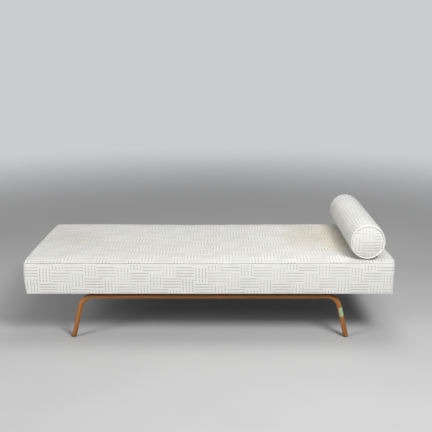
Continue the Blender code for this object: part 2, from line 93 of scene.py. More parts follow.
# The cells are deeper on the top than they are tall on the sides
TOP_STRETCH = 0.0300 / 0.0330
# Cells in one repeat, its step from column to column, cells in a block and lines in a cell
REPEAT = 12.0
REPEAT_STEP = 5.0
BLOCK = 3.0
CELL_LINES = 2.0
# How far below the seam the lines begin, and show in full; the plain strip above is a painted highlight along
# the lit seam edge
LINE_START = 0.004
LINE_FULL = 0.012
# Marks on the top: middle, half width and half depth, tint, strength. The two at the left are soil; the two
# at the right are partly soil and partly painted shade
SOIL_AND_SHADE_MARKS = (
    ((-0.835, 0.020), (0.165, 0.230), (0.925, 0.872, 0.822), 0.58),
    ((-0.690, 0.010), (0.150, 0.200), (0.935, 0.885, 0.845), 0.55),
    # These two, beside the bolster, are partly a soil mark and partly painted shade: the bolster's warm
    # shadow and a darker right end of the top
    ((0.535, 0.085), (0.160, 0.350), (0.895, 0.855, 0.765), 0.95),
    ((0.700, 0.060), (0.130, 0.370), (0.895, 0.835, 0.715), 0.95),
)

# Cloth box: rows of points close to the seam, by their distance from it on the top and on the sides
TOP_LINES = (0.0, 0.0020, 0.0055, 0.012, 0.021, 0.032, 0.045, 0.059)
SIDE_LINES = (0.0020, 0.0055, 0.013, 0.024)
# Last rows of the sides, by their distance from the base
BASE_LINES = (0.016, 0.006, 0.0018)
# Cloth turned under the base: distance in from the edge, and lift off the lowest plane
TURN_UNDER = ((0.0022, 0.0), (0.0070, 0.0006), (0.030, 0.0006), (0.058, 0.0006))
# Cloth lower than this above the base counts as turned under, from this far in
TURN_HEIGHT = 0.0030
TURN_EDGE = 0.002
# Strips beside the seam and at the base that stay still when the box is filled
HELD_AT_SEAM = 0.008
HELD_AT_BASE = 0.009
# Room under the crown of the solid before the box is filled, and after
CROWN_ROOM = 0.0006
FILLED_ROOM = 0.0005
# Parts of the sag that the seam and the crown take, and half its length
SEAM_SAG = 0.4
CROWN_SAG = 0.6
SAG_REACH = 0.70
# Length of the fuller part at the left end, and distance over which puckers fade
FILL_REACH = 0.120
PUCKER_FADE = 0.030
# Halvings in the search for the run along the crown
HALVINGS = 18

# Bolster: which piece a ring belongs to
FRONT_END, SLEEVE, REAR_END = range(3)
# Rings of an end as shares of its radius, first rings of the sleeve from its rim, and even steps between
DISC_RINGS = (0.02, 0.14, 0.28, 0.42, 0.56, 0.69, 0.80, 0.89, 0.95)
SLEEVE_LINES = (0.0, 0.003, 0.008, 0.015, 0.024, 0.035, 0.048)
SLEEVE_STEPS = 40
# Distance over which the sleeve grows from its rim to its full radius
RIM_EASE = 0.035
# The pattern's shifts on the ends and on the sleeve
DISC_SHIFT = (0.037, -0.008)
SLEEVE_SHIFT = (0.02, 0.4)

# Bent bars: steps along half the rail and round a bend, and places down a leg
RAIL_STEPS = 8
BEND_STEPS = 16
LEG_SHARES = (0.2, 0.4, 0.6, 0.8, 0.95)
# Eased foot of a bar: height above its end, and share of its radius
FOOT_CUTS = ((0.0016, 1.0), (0.0004, 0.975), (0.0, 0.93))

# Least length to divide by, and distance that counts as on the seam
TINY = 1e-9
ON_SEAM = 1e-6


def number_prop(label, words, value, **more):
    """A number setting."""
    return FloatProperty(name=label, description=words, default=value, **more)


def length_prop(label, words, value):
    """A length setting in metres."""
    return number_prop(label, words, value, unit="LENGTH", precision=4)


def share_prop(label, words, value):
    """A setting from nothing to all."""
    return number_prop(label, words, value, subtype="FACTOR", min=0.0, max=1.0)


def angle_prop(label, words, degrees):
    """An angle setting."""
    return number_prop(label, words, math.radians(degrees), subtype="ANGLE")


def power_prop(label, words, watts):
    """A setting for the power of a lamp."""
    return number_prop(label, words, watts, unit="POWER")


def count_prop(label, words, value, least=1):
    """A setting for a whole number."""
    return IntProperty(name=label, description=words, default=value, min=least)


def colour_prop(label, words, value):
    """A colour setting."""
    return FloatVectorProperty(name=label, description=words, default=value, subtype="COLOR", min=0.0,
                               max=1.0)


class DaybedCloth(bpy.types.PropertyGroup):
    """Colours and sizes of the woven cloth."""

    ground: colour_prop("Ribs", "Colour of the raised ribs", (0.812, 0.806, 0.768))
    line: colour_prop("Lines", "Colour of the lines between the ribs", (0.335, 0.330, 0.310))
    welt: colour_prop("Welt", "Colour of the piping on the bolster", (0.850, 0.838, 0.785))
    # Painted shade: the cloth is tinted towards this colour down in the seam crease
    seam: colour_prop("Seam", "Tint of the cloth down in the seams", (0.150, 0.143, 0.128))
    cell_width: length_prop("Cell width", "Width of one cell of the block pattern", 0.0334)
    cell_height: length_prop("Cell height", "Height of one cell of the block pattern", 0.0300)
    rib_height: length_prop("Rib height", "How far the ribs stand above the lines", 0.0012)
    line_share: share_prop("Line width", "Share of a rib's pitch that its dark line takes", 0.27)
    contrast: share_prop("Line strength", "How strongly the lines show", 0.86)


class DaybedBody(bpy.types.PropertyGroup):
    """Shape of the upholstered body."""

    step: length_prop("Grid step", "Distance between the points of the cloth before it swells", 0.0135)
    reach: length_prop("Crown reach", "Distance over which the top rolls down to the seam", 0.080)
    end_reach: length_prop("End reach", "The same distance at the left end", 0.030)
    right_reach: length_prop("Right reach", "The same distance at the right end", 0.012)
    full_end: length_prop("Full end", "How much further the left end stands out", 0.0050)
    corner: length_prop("Corner radius", "Plan radius of the upright corners", 0.022)
    corner_spread: number_prop("Corner spread", "Growth of the rear corners' radius up the crown", 1.9)
    front_spread: number_prop("Front spread", "The same growth at the front corners", 1.0)
    flat_end: share_prop("Flat end", "Share of the bulge that the right end lacks", 0.8)
    seam_depth: length_prop("Seam depth", "How far the seam is drawn in", 0.0036)
    sag: length_prop("Sag", "How much lower the middle of the top lies", 0.0050)
    bulge: length_prop("Bulge", "How far the sides stand out between seam and base", 0.0030)
    swell: length_prop("Swell", "Furthest that a point moves when the cloth is filled", 0.0030)
    pressure: number_prop("Filling", "Push of the filling on the cloth", 3.0)
    frames: count_prop("Frames", "Steps of the cloth simulation", 16)


class DaybedBolster(bpy.types.PropertyGroup):
    """Shape of the bolster."""

    around: count_prop("Points around", "Points in each ring", 96, 24)
    slack: length_prop("Slack", "How much smaller the cover starts before it is filled", 0.0003)
    dome: length_prop("Dome", "How far the ends stand out", 0.0120)


class DaybedWood(bpy.types.PropertyGroup):
    """Colours and bends of the wood."""

    light: colour_prop("Light grain", "Colour of the bent wood between its streaks", (0.455, 0.182, 0.047))
    dark: colour_prop("Dark grain", "Colour of the streaks in the bent wood", (0.250, 0.088, 0.020))
    # Painted shade: the blocks over the bars are near black so that they read as the shadowed gap under the
    # body
    painted_shade: colour_prop("Stained blocks", "Colour of the dark blocks over the bars", (0.045, 0.034, 0.026))
    timber: colour_prop("Base timber", "Colour of the hidden base frame", (0.620, 0.440, 0.260))
    bend_radius: length_prop("Bend radius", "Radius of the bends at the centre line", 0.067)
    lean: angle_prop("Leg lean", "Outward lean of the legs", 14.0)


class DaybedStage(bpy.types.PropertyGroup):
    """Camera, floor and light."""

    camera_place: FloatVectorProperty(name="Camera", description="Place of the camera", subtype="TRANSLATION",
                                      default=(0.032, -3.6254, 1.4875))
    camera_tilt: angle_prop("Tilt", "Downward tilt of the camera", 14.08)
    lens: number_prop("Lens", "Focal length in millimetres", 55.39)
    floor: colour_prop("Floor", "Colour of the floor", (0.56, 0.56, 0.56))
    backdrop: colour_prop("Backdrop", "Colour behind the daybed", (0.60, 0.605, 0.62))
    key_power: power_prop("Key light", "Power of the light at the right", 116.0)
    fill_power: power_prop("Fill light", "Power of the light at the left", 76.0)
    top_power: power_prop("Top light", "Power of the light overhead", 30.0)
    sky: number_prop("Sky", "Strength of the even light from all round", 0.10)


class Bench:
    """Lays out and links the shader nodes of a material or a world."""

    def __init__(self, owner):
        owner.use_nodes = True
        self.tree = owner.node_tree

    def feed(self, socket, value):
        """Link an output to a socket, or write a plain value on it."""
        if isinstance(value, bpy.types.NodeSocket):
            self.tree.links.new(value, socket)
        elif socket.type == "RGBA" and len(value) == 3:
            socket.default_value = (*value, 1.0)
        else:
            socket.default_value = value

    def add(self, kind, settings=None, feeds=None):
        """Add a node with its settings and inputs."""
        node = self.tree.nodes.new(kind)
        for key, value in (settings or {}).items():
            setattr(node, key, value)
        for key, value in (feeds or {}).items():
            self.feed(node.inputs[key], value)
        return node

    def math(self, operation, *values):
        """Output of a Math node."""
        return self.add("ShaderNodeMath", {"operation": operation}, dict(enumerate(values))).outputs[0]

    def vector(self, operation, *values):
        """Output of a Vector Math node."""
        node = self.add("ShaderNodeVectorMath", {"operation": operation}, dict(enumerate(values)))
        return node.outputs["Value" if operation == "LENGTH" else "Vector"]

    def pick(self, share, first, second):
        """Number between two others."""
        return self.add("ShaderNodeMix", {"data_type": "FLOAT"}, {0: share, 2: first, 3: second}).outputs[0]

    def tint(self, share, first, second, mode="MIX"):
        """Colour between two others."""
        settings = {"data_type": "RGBA", "blend_type": mode}
        return self.add("ShaderNodeMix", settings, {0: share, 6: first, 7: second}).outputs[2]

    def ease(self, value, start, stop, low=0.0, high=1.0):
        """Smooth step from low to high as a value goes from start to stop."""
        feeds = {"Value": value, "From Min": start, "From Max": stop, "To Min": low, "To Max": high}
        return self.add("ShaderNodeMapRange", {"interpolation_type": "SMOOTHSTEP"}, feeds).outputs["Result"]

    def noise(self, place, scale, detail=2.0, roughness=0.5):
        """Soft random number from nothing to one."""
        feeds = {"Vector": place, "Scale": scale, "Detail": detail, "Roughness": roughness}
        return self.add("ShaderNodeTexNoise", None, feeds).outputs["Fac"]

    def wave(self, value, period):
        """Sine of a length, once for each period."""
        return self.math("SINE", self.math("MULTIPLY", value, 2 * math.pi / period))

    def split(self, place):
        """The outputs X, Y and Z of a place."""
        return self.add("ShaderNodeSeparateXYZ", None, {"Vector": place}).outputs

    def note(self, name, output):
        """Values that a mesh carries under a name."""
        return self.add("ShaderNodeAttribute", {"attribute_name": name}).outputs[output]

    def uv(self):
        """The lengths along the cloth as (vector, u, v)."""
        place = self.add("ShaderNodeUVMap", {"uv_map": "cloth"}).outputs["UV"]
        axes = self.split(place)
        return place, axes["X"], axes["Y"]

    def solid_place(self):
        """Place in the frame of the solids."""
        return self.add("ShaderNodeTexCoord").outputs["Object"]

    def seen(self):
        """One for rays from the camera, off gloss or through glass, and nothing for the rest."""
        rays = self.add("ShaderNodeLightPath").outputs
        bounced = self.math("MAXIMUM", rays["Is Glossy Ray"], rays["Is Transmission Ray"])
        return self.math("MAXIMUM", rays["Is Camera Ray"], bounced)


class Finish(Bench):
    """The nodes of one new material around its main shader.

    Plain settings go by the names of the shader's sockets, with _ for a space.
    """

    def __init__(self, name, **sockets):
        self.material = bpy.data.materials.new(name)
        super().__init__(self.material)
        self.shader = self.tree.nodes["Principled BSDF"]
        for socket, value in sockets.items():
            self.set(socket.replace("_", " "), value)

    def set(self, socket, value):
        """Feed one socket of the shader."""
        self.feed(self.shader.inputs[socket], value)

    def bump(self, height, distance, strength=1.0):
        """Raise the surface by a height."""
        feeds = {"Height": height, "Distance": distance, "Strength": strength}
        self.set("Normal", self.add("ShaderNodeBump", None, feeds).outputs["Normal"])


def darker(colour, *shares):
    """A colour times one share, or times a share for each of its three parts."""
    return [c * t for c, t in zip(colour, shares if len(shares) == 3 else shares * 3)]


def block_lines(b, place, cloth):
    """Nodes of the block pattern: distance from the nearest line, dashes, end fade, and upright or not."""
    feeds = {"Vector": place, "Scale": 38.0, "Detail": 1.0}
    drift = b.add("ShaderNodeTexNoise", None, feeds).outputs["Color"]
    drift = b.vector("SCALE", b.vector("SUBTRACT", drift, (0.5, 0.5, 0.5)))
    b.feed(drift.node.inputs["Scale"], 0.0030)
    axes = b.split(b.vector("ADD", place, drift))
    cu = b.math("DIVIDE", axes["X"], cloth.cell_width)
    cv = b.math("DIVIDE", axes["Y"], cloth.cell_height)
    number = b.math("MULTIPLY_ADD", b.math("FLOOR", cu), REPEAT_STEP, b.math("FLOOR", cv))
    number = b.math("FLOORED_MODULO", number, REPEAT)
    # Cells 0 to 2 and 5 to 7 of a repeat are upright, and the rest are level
    early = b.math("LESS_THAN", number, 7.5)
    step = b.math("FLOORED_MODULO", number, REPEAT_STEP)
    upright = b.math("MULTIPLY", early, b.math("LESS_THAN", step, 2.5))
    across = b.math("MULTIPLY", b.pick(upright, cv, cu), CELL_LINES)
    off = b.math("ABSOLUTE", b.math("SUBTRACT", b.math("FRACT", across), 0.5))
    column = b.pick(b.math("GREATER_THAN", number, 9.5), b.pick(early, 2.0, 1.0), 0.0)
    level_run = b.math("ADD", column, b.math("FRACT", cu))
    upright_run = b.math("ADD", step, b.math("FRACT", cv))
    run = b.pick(upright, level_run, upright_run)
    ends = b.math("MINIMUM", run, b.math("SUBTRACT", BLOCK, run))
    ends = b.pick(upright, b.ease(ends, -0.02, 0.16), b.ease(ends, 0.10, 0.42))
    shift = b.math("MULTIPLY", b.math("FLOOR", across), b.pick(upright, 0.37, 0.06))
    beat = b.math("FRACT", b.math("MULTIPLY_ADD", run, b.pick(upright, 2.6, 2.0), shift))
    gap = b.math("ABSOLUTE", b.math("SUBTRACT", beat, 0.5))
    dash = b.pick(upright, b.ease(gap, 0.47, 0.30), b.ease(gap, 0.40, 0.17))
    return off, dash, ends, upright


def woven_cloth(name, cloth, soil_and_shade=(), strength=1.0, lit_seam_edge=None):
    """Off-white cloth in blocks of upright and level ribs with beaded lines, with the lines faded out just
    under a given edge as a painted highlight.
    """
    b = Finish(name, Roughness=0.86, Sheen_Weight=0.22, Sheen_Roughness=0.55, Specular_IOR_Level=0.22)
    place, u, v = b.uv()
    off, dash, ends, upright = block_lines(b, place, cloth)
    half = cloth.line_share / 2
    valley = b.ease(off, half * 1.45, half * 0.35)
    worn = b.ease(b.noise(place, 7.0, 3.0), 0.30, 0.62, 0.50, 1.0)
    between = b.pick(upright, 0.50, 0.25)
    drawn = b.math("MULTIPLY", b.pick(dash, between, 1.0), ends)
    # Painted highlight: the lines fade out just under the lit seam edge
    if lit_seam_edge:
        drawn = b.math("MULTIPLY", drawn, b.ease(v, lit_seam_edge - LINE_START, lit_seam_edge - LINE_FULL))
    line = b.math("MULTIPLY", b.math("MULTIPLY", valley, worn), drawn)
    ground = b.tint(b.ease(b.noise(place, 2.3, 3.0), 0.30, 0.70), cloth.ground, darker(cloth.ground, 0.955))
    yarn = b.math("MULTIPLY", b.wave(u, 0.0023), b.wave(v, 0.0023))
    slub = b.noise(place, 420.0, 2.0)
    fleck = b.math("MULTIPLY_ADD", slub, 0.16, 0.92)
    grey = b.add("ShaderNodeCombineColor", None, {0: fleck, 1: fleck, 2: fleck}).outputs[0]
    thread = b.tint(1.0, ground, grey, "MULTIPLY")
    colour = b.tint(b.math("MULTIPLY", line, min(cloth.contrast * strength, 1.0)), thread, cloth.line)
    # Marks multiplied into the colour: soil, and beside the bolster also painted shade of its warm shadow
    for middle, size, shade, amount in soil_and_shade:
        gap = b.vector("DIVIDE", b.vector("SUBTRACT", place, (*middle, 0.0)), (*size, 1.0))
        away = b.math("SUBTRACT", b.vector("LENGTH", gap), 0.45)
        cloud = b.math("MULTIPLY_ADD", b.noise(place, 9.0, 4.0), 0.9, away)
        colour = b.tint(b.ease(cloud, 1.0, 0.25, 0.0, amount), colour, shade, "MULTIPLY")
    # Painted shade in the seam crease, a little uneven along it
    uneven = b.ease(b.noise(place, 11.0, 2.0), 0.25, 0.60, 0.55, 1.0)
    colour = b.tint(b.math("MULTIPLY", b.note("seam", "Fac"), uneven), colour, cloth.seam, "MULTIPLY")
    b.set("Base Color", colour)
    groove = b.math("MULTIPLY", b.ease(off, 0.34, 0.0), drawn)
    height = b.math("SUBTRACT", b.math("MULTIPLY_ADD", yarn, 0.16, b.math("MULTIPLY", slub, 0.25)), groove)
    b.bump(height, cloth.rib_height, 0.85)
    return b.material


def welt_cloth(name, cloth):
    """Plain bias-cut cloth of the piping, with its threads running aslant."""
    b = Finish(name, Roughness=0.84, Sheen_Weight=0.22)
    place, u, v = b.uv()
    slant = b.wave(b.math("ADD", u, v), 0.0024)
    yarn = b.math("MULTIPLY", slant, b.wave(b.math("SUBTRACT", u, v), 0.0024))
    soft = b.noise(place, 60.0, 2.0)
    b.set("Base Color", b.tint(b.ease(soft, 0.3, 0.8, 0.0, 0.5), cloth.welt, darker(cloth.welt, 0.9)))
    b.bump(b.math("MULTIPLY_ADD", yarn, 0.4, soft), 0.0006, 0.7)
    return b.material


def bent_wood(name, wood):
    """Satin bent wood whose grain follows the bar, a little scuffed at the feet."""
    b = Finish(name, Specular_IOR_Level=0.32, Coat_Weight=0.05, Coat_Roughness=0.28)
    grain = b.note("grain", "Vector")
    broad = b.noise(b.vector("MULTIPLY", grain, (2.2, 95.0, 95.0)), 1.0, 5.0, 0.6)
    fine = b.noise(b.vector("MULTIPLY", grain, (9.0, 520.0, 520.0)), 1.0, 3.0, 0.6)
    pore = b.noise(b.vector("MULTIPLY", grain, (70.0, 1500.0, 1500.0)), 1.0, 1.0)
    patch = b.noise(b.vector("MULTIPLY", grain, (5.0, 20.0, 20.0)), 1.0, 2.0)
    streak = b.math("MULTIPLY_ADD", fine, 0.45, b.math("MULTIPLY", broad, 0.55))
    colour = b.tint(b.ease(streak, 0.36, 0.64), wood.dark, wood.light)
    colour = b.tint(b.ease(patch, 0.35, 0.75, 0.0, 0.35), colour, darker(wood.light, 0.72))
    fleck = b.ease(pore, 0.62, 0.72, 0.0, 0.55)
    colour = b.tint(fleck, colour, darker(wood.dark, 0.45))
    height = b.split(b.solid_place())["Z"]
    scuff = b.math("MULTIPLY", b.ease(height, 0.045, 0.006), b.ease(patch, 0.40, 0.62))
    colour = b.tint(b.math("MULTIPLY", scuff, 0.55), colour, darker(wood.dark, 0.55))
    b.set("Base Color", colour)
    b.set("Roughness", b.ease(streak, 0.3, 0.7, 0.50, 0.36))
    b.bump(b.math("SUBTRACT", fine, b.math("MULTIPLY", fleck, 0.8)), 0.00025, 0.6)
    return b.material


def stained_wood(name, wood):
    """Wood painted near black as shade, so the blocks read as the shadowed gap under the body, with a little
    grain showing through.
    """
    b = Finish(name, Roughness=0.58)
    place = b.vector("MULTIPLY", b.solid_place(), (6.0, 160.0, 160.0))
    streak = b.noise(place, 1.0, 4.0, 0.6)
    b.set("Base Color", b.tint(b.ease(streak, 0.35, 0.70), darker(wood.painted_shade, 0.6), wood.painted_shade))
    b.bump(streak, 0.0003, 0.5)
    return b.material


def planed_timber(name, wood, stretch):
    """Raw planed timber of the base frame, with its grain along the axis of the smallest stretch."""
    b = Finish(name)
    place = b.vector("MULTIPLY", b.solid_place(), stretch)
    ring = b.noise(place, 1.0, 4.0, 0.6)
    hair = b.noise(place, 6.0, 2.0)
    colour = b.tint(b.ease(ring, 0.35, 0.65), wood.timber, darker(wood.timber, 0.80, 0.72, 0.62))
    b.set("Base Color", b.tint(b.ease(hair, 0.55, 0.75, 0.0, 0.3), colour, darker(wood.timber, 0.55)))
    b.set("Roughness", b.ease(ring, 0.3, 0.7, 0.72, 0.58))
    b.bump(b.math("MULTIPLY_ADD", hair, 0.5, ring), 0.0004, 0.6)
    return b.material


def plain_weave(name, colour, shade, pitch, roughness):
    """Plain over-and-under weave of flat threads."""
    b = Finish(name, Roughness=roughness)
    place, u, v = b.uv()
    cross = b.math("MULTIPLY", b.wave(u, pitch), b.wave(v, pitch))
    slub = b.noise(b.vector("MULTIPLY", place, (1.0, 6.0, 1.0)), 60.0, 3.0)
    b.set("Base Color", b.tint(b.ease(b.math("MULTIPLY_ADD", cross, 0.5, slub), 0.1, 1.0), shade, colour))
    b.bump(b.math("MULTIPLY_ADD", slub, 0.8, cross), pitch * 0.3, 0.8)
    return b.material


def open_foam(name, colour, holes):
    """Foam with open pores."""
    b = Finish(name, Roughness=0.92, Subsurface_Weight=0.06)
    place = b.solid_place()
    cells = b.add("ShaderNodeTexVoronoi", None, {"Vector": place, "Scale": holes}).outputs["Distance"]
    pores = b.ease(cells, 0.10, 0.45)
    pale = b.tint(b.ease(b.noise(place, 8.0, 3.0), 0.3, 0.7), colour, darker(colour, 0.88))
    # Painted shade: the pores are darker than the foam around them
    b.set("Base Color", b.tint(pores, darker(colour, 0.55), pale))
    b.bump(pores, 0.0008, 0.7)
    return b.material


def strap_rubber(name):
    """Webbing of rubber and cord with ribs along the strap."""
    b = Finish(name, Roughness=0.80)
    place, u, v = b.uv()
    dust = b.noise(place, 30.0, 4.0)
    b.set("Base Color", b.tint(b.ease(dust, 0.35, 0.75), (0.085, 0.060, 0.042), (0.165, 0.125, 0.090)))
    b.bump(b.math("MULTIPLY_ADD", b.wave(v, 0.0026), 0.35, b.wave(u, 0.0040)), 0.0006, 0.8)
    return b.material


def worn_steel(name, colour, roughness, spots):
    """Steel with a mottled skin and fine scratches."""
    b = Finish(name, Metallic=1.0)
    place = b.solid_place()
    mottle = b.noise(place, spots, 4.0)
    scratch = b.noise(b.vector("MULTIPLY", place, (1.0, 1.0, 14.0)), spots * 4.0, 2.0)
    b.set("Base Color", b.tint(b.ease(mottle, 0.35, 0.70), darker(colour, 0.62), colour))
    b.set("Roughness", b.ease(scratch, 0.3, 0.7, roughness - 0.10, roughness + 0.14))
    b.bump(scratch, 0.00012, 0.5)
    return b.material


def tag_paper(name):
    """Pale green paper, paler at its top and bottom edges as a painted highlight."""
    b = Finish(name, Roughness=0.78)
    place, _, v = b.uv()
    cloud = b.noise(place, 60.0, 3.0)
    colour = b.tint(b.ease(cloud, 0.35, 0.7), (0.360, 0.490, 0.280), (0.300, 0.450, 0.245))
    # Painted highlight: the band turns paler towards its top and bottom edges
    edge = b.ease(b.math("ABSOLUTE", v), 0.018, 0.028, 0.0, 0.45)
    b.set("Base Color", b.tint(edge, colour, (0.450, 0.500, 0.360)))
    b.bump(b.noise(place, 900.0, 2.0), 0.0002, 0.5)
    return b.material


def link(obj):
    """Put an object in the scene."""
    bpy.context.collection.objects.link(obj)
    return obj


def make_object(name, points, faces, materials, smooth=True):
    """New mesh object from points and faces."""
    mesh = bpy.data.meshes.new(name)
    mesh.from_pydata([tuple(p) for p in points], [], faces)
    for material in materials:
        mesh.materials.append(material)
    mesh.polygons.foreach_set("use_smooth", [smooth] * len(mesh.polygons))
    return link(bpy.data.objects.new(name, mesh))


def seat(obj, body, slot, *nodes):
    """Let a piece ride on a body and stand for solids."""
    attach(obj, body)
    if nodes:
        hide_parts(*nodes)


def centre(low, high):
    """Middle of a box."""
    return [(a + c) / 2 for a, c in zip(low, high)]


def turns(count):
    """Even angles round a full turn."""
    return [2 * math.pi * k / count for k in range(count)]


def circle(x, y, z, radius, sides):
    """Points of a level circle."""
    return [(x + radius * math.cos(a), y + radius * math.sin(a), z) for a in turns(sides)]


def skin(rings, closed=False, caps=True):
    """Points and faces of a row of equal rings."""
    count = len(rings[0])
    points = [p for ring in rings for p in ring]
    faces = []
    for r in range(len(rings) if closed else len(rings) - 1):
        n = (r + 1) % len(rings)
        for k in range(count):
            j = (k + 1) % count
            faces.append((r * count + k, r * count + j, n * count + j, n * count + k))
    if caps and not closed:
        faces.append(tuple(reversed(range(count))))
        faces.append(tuple(range(len(points) - count, len(points))))
    return points, faces


def grid_faces(rows, columns, flip=False):
    """Faces of a grid of points that was made row by row."""
    faces = []
    for i in range(rows):
        for j in range(columns):
            a = i * (columns + 1) + j
            c = a + columns + 1
            faces.append((a, a + 1, c + 1, c) if flip else (a, c, c + 1, a + 1))
    return faces


def read_points(mesh):
    """Points of a mesh as rows."""
    flat = np.empty(len(mesh.vertices) * 3, np.float32)
    mesh.vertices.foreach_get("co", flat)
    return flat.reshape(-1, 3).astype(float)


def write_points(mesh, points):
    """Put rows back as the points of a mesh."""
    mesh.vertices.foreach_set("co", np.asarray(points, np.float32).ravel())
    mesh.update()


def corner_points(mesh):
    """Number of the point at each corner of the faces."""
    corners = np.empty(len(mesh.loops), np.int32)
    mesh.loops.foreach_get("vertex_index", corners)
    return corners


def corner_uv(mesh, pairs):
    """Write one pair of lengths along the cloth for each corner of the faces."""
    mesh.uv_layers.new(name="cloth").data.foreach_set("uv", np.asarray(pairs, np.float32).ravel())


def point_uv(mesh, pairs):
    """Write lengths along the cloth that are given point by point."""
    corner_uv(mesh, np.asarray(pairs)[corner_points(mesh)])


def note_points(mesh, name, values):
    """Keep a number for each point on the mesh under a name."""
    mesh.attributes.new(name, "FLOAT", "POINT").data.foreach_set("value", values)


def sharpen(obj, degrees):
    """Shade an object smooth except across edges that turn more than the angle."""
    obj.data.polygons.foreach_set("use_smooth", [True] * len(obj.data.polygons))
    obj.data.set_sharp_from_angle(angle=math.radians(degrees))


def face_out(obj):
    """Turn all faces of a closed mesh outward."""
    bm = bmesh.new()
    bm.from_mesh(obj.data)
    bmesh.ops.recalc_face_normals(bm, faces=bm.faces)
    bm.to_mesh(obj.data)
    bm.free()


def shape_with(obj, kind, **settings):
    """Change the mesh of an object by one modifier."""
    modifier = obj.modifiers.new(kind.lower(), kind)
    for key, value in settings.items():
        setattr(modifier, key, value)
    graph = bpy.context.evaluated_depsgraph_get()
    made = bpy.data.meshes.new_from_object(obj.evaluated_get(graph), depsgraph=graph)
    obj.modifiers.clear()
    old = obj.data
    obj.data = made
    made.name = obj.name
    bpy.data.meshes.remove(old)


def smooth_once(obj):
    """Subdivide a piece once."""
    shape_with(obj, "SUBSURF", levels=1, render_levels=1)


def ripple(x, y, z, wavelength):
    """Smooth unevenness from about -1 to 1 that is the same on each run."""
    return noise.noise(Vector((x, y, z)) / wavelength) * 1.6


def relax(obj, held, pressure, gravity, frames, cap):
    """Simulate a piece as cloth, keep each point within cap of its start, and apply the result."""
    scene = bpy.context.scene
    group = obj.vertex_groups.new(name="held")
    group.add([int(i) for i in held], 1.0, "REPLACE")
    cloth = obj.modifiers.new("cloth", "CLOTH")
    settings = cloth.settings
    settings.quality = 4
    settings.mass = 0.3
    settings.tension_stiffness = 25.0
    settings.compression_stiffness = 25.0
    settings.shear_stiffness = 12.0
    settings.bending_stiffness = 1.2
    settings.vertex_group_mass = "held"
    settings.effector_weights.gravity = gravity
    if pressure:
        settings.use_pressure = True
        settings.uniform_pressure_force = pressure
    cloth.collision_settings.use_collision = False
    cloth.point_cache.frame_start = 1
    cloth.point_cache.frame_end = frames
    start = read_points(obj.data)
    for number in range(1, frames + 1):
        scene.frame_set(number)
    graph = bpy.context.evaluated_depsgraph_get()
    move = read_points(obj.evaluated_get(graph).data) - start
    obj.modifiers.remove(cloth)
    obj.vertex_groups.remove(group)
    scene.frame_set(1)
    far = np.maximum(np.linalg.norm(move, axis=1, keepdims=True), TINY)
    write_points(obj.data, start + move / far * cap * np.tanh(far / cap))


def grid_lines(half, step):
    """Grid lines over a width: close together near the seam, even between."""
    inner = half - TOP_LINES[-1]
    count = round(2 * inner / step)
    left = [d - half for d in TOP_LINES]
    middle = [2 * inner * k / count - inner for k in range(1, count)]
    return left + middle + [-v for v in reversed(left)]


def round_plan(gx, gy, half_l, half_d, corner):
    """Place and outward direction in plan of a grid point, with the corners rounded."""
    a = (abs(gx) - half_l + corner) / corner
    c = (abs(gy) - half_d + corner) / corner
    sx = math.copysign(1, gx)
    sy = math.copysign(1, gy)
    if a <= 0 or c <= 0:
        out = (sx, 0.0) if a > c else (0.0, sy)
        return gx, gy, out
    p = a * math.sqrt(1 - c * c / 2)
    q = c * math.sqrt(1 - a * a / 2)
    far = max(math.hypot(p, q), TINY)
    x = sx * (half_l - corner + corner * p)
    y = sy * (half_d - corner + corner * q)
    return x, y, (sx * p / far, sy * q / far)


def round_sheet(half_l, half_d, corner, nx, ny):
    """Places in plan of an even grid over a sheet with rounded corners."""
    return [round_plan(half_l * (2 * i / nx - 1), half_d * (2 * j / ny - 1), half_l, half_d, corner)[:2]
            for i in range(nx + 1) for j in range(ny + 1)]


def edge_run(gx, gy, body):
    """Distance from the seam along the roll of the crown, with wider corners further in."""
    dx = (HALF_L - abs(gx)) * body.reach / (body.end_reach if gx < 0 else body.right_reach)
    dy = HALF_D - abs(gy)
    spread = body.corner_spread if gy > 0 else body.front_spread
    low = 0.0
    high = min(dx, dy)
    for _ in range(HALVINGS):
        run = (low + high) / 2
        corner = body.corner + spread * run
        a = corner + run - dx
        c = corner + run - dy
        outside = a > 0 and c > 0 and math.hypot(a, c) > corner
        low, high = (low, run) if outside else (run, high)
    return low


def crown_share(distance, reach):
    """Height of a rolled edge at a distance from the seam, as a share of the crown."""
    t = min(max(distance / reach, 0.0), 1.0)
    return math.sqrt(1 - (1 - t) ** 2)


def left_fill(x, y, z, body):
    """How far the fuller left end stands out: most a third of the way back, in full from halfway up."""
    near = max(1 - (HALF_L + x) / FILL_REACH, 0.0)
    across = (y + HALF_D) / (2 * HALF_D)
    bow = (1 - across) * (1.0 + 3.6 * across)
    up = min(max((z - UNDER_Z) / (0.5 * (SEAM_Z - UNDER_Z)), 0.0), 1.0)
    return body.full_end * near * near * bow * up * (2 - up)


def sag_share(x):
    """Share of the sag at a place along the daybed; it ends short of the bolster's two ends of travel."""
    t = min(abs(x) / SAG_REACH, 1.0)
    return (1 - t * t) ** 2


def seam_shift(x, y, body):
    """How far the seam lies off its level: a slight wave, less its part of the sag."""
    return 0.0007 * ripple(x, y, 7.0, 0.14) - SEAM_SAG * body.sag * sag_share(x)


def pucker(height, distance, x, y, layer, wavelength):
    """Unevenness of gathered cloth, which fades with the distance from the seam."""
    return height * math.exp(-distance / PUCKER_FADE) * ripple(x, y, layer, wavelength)


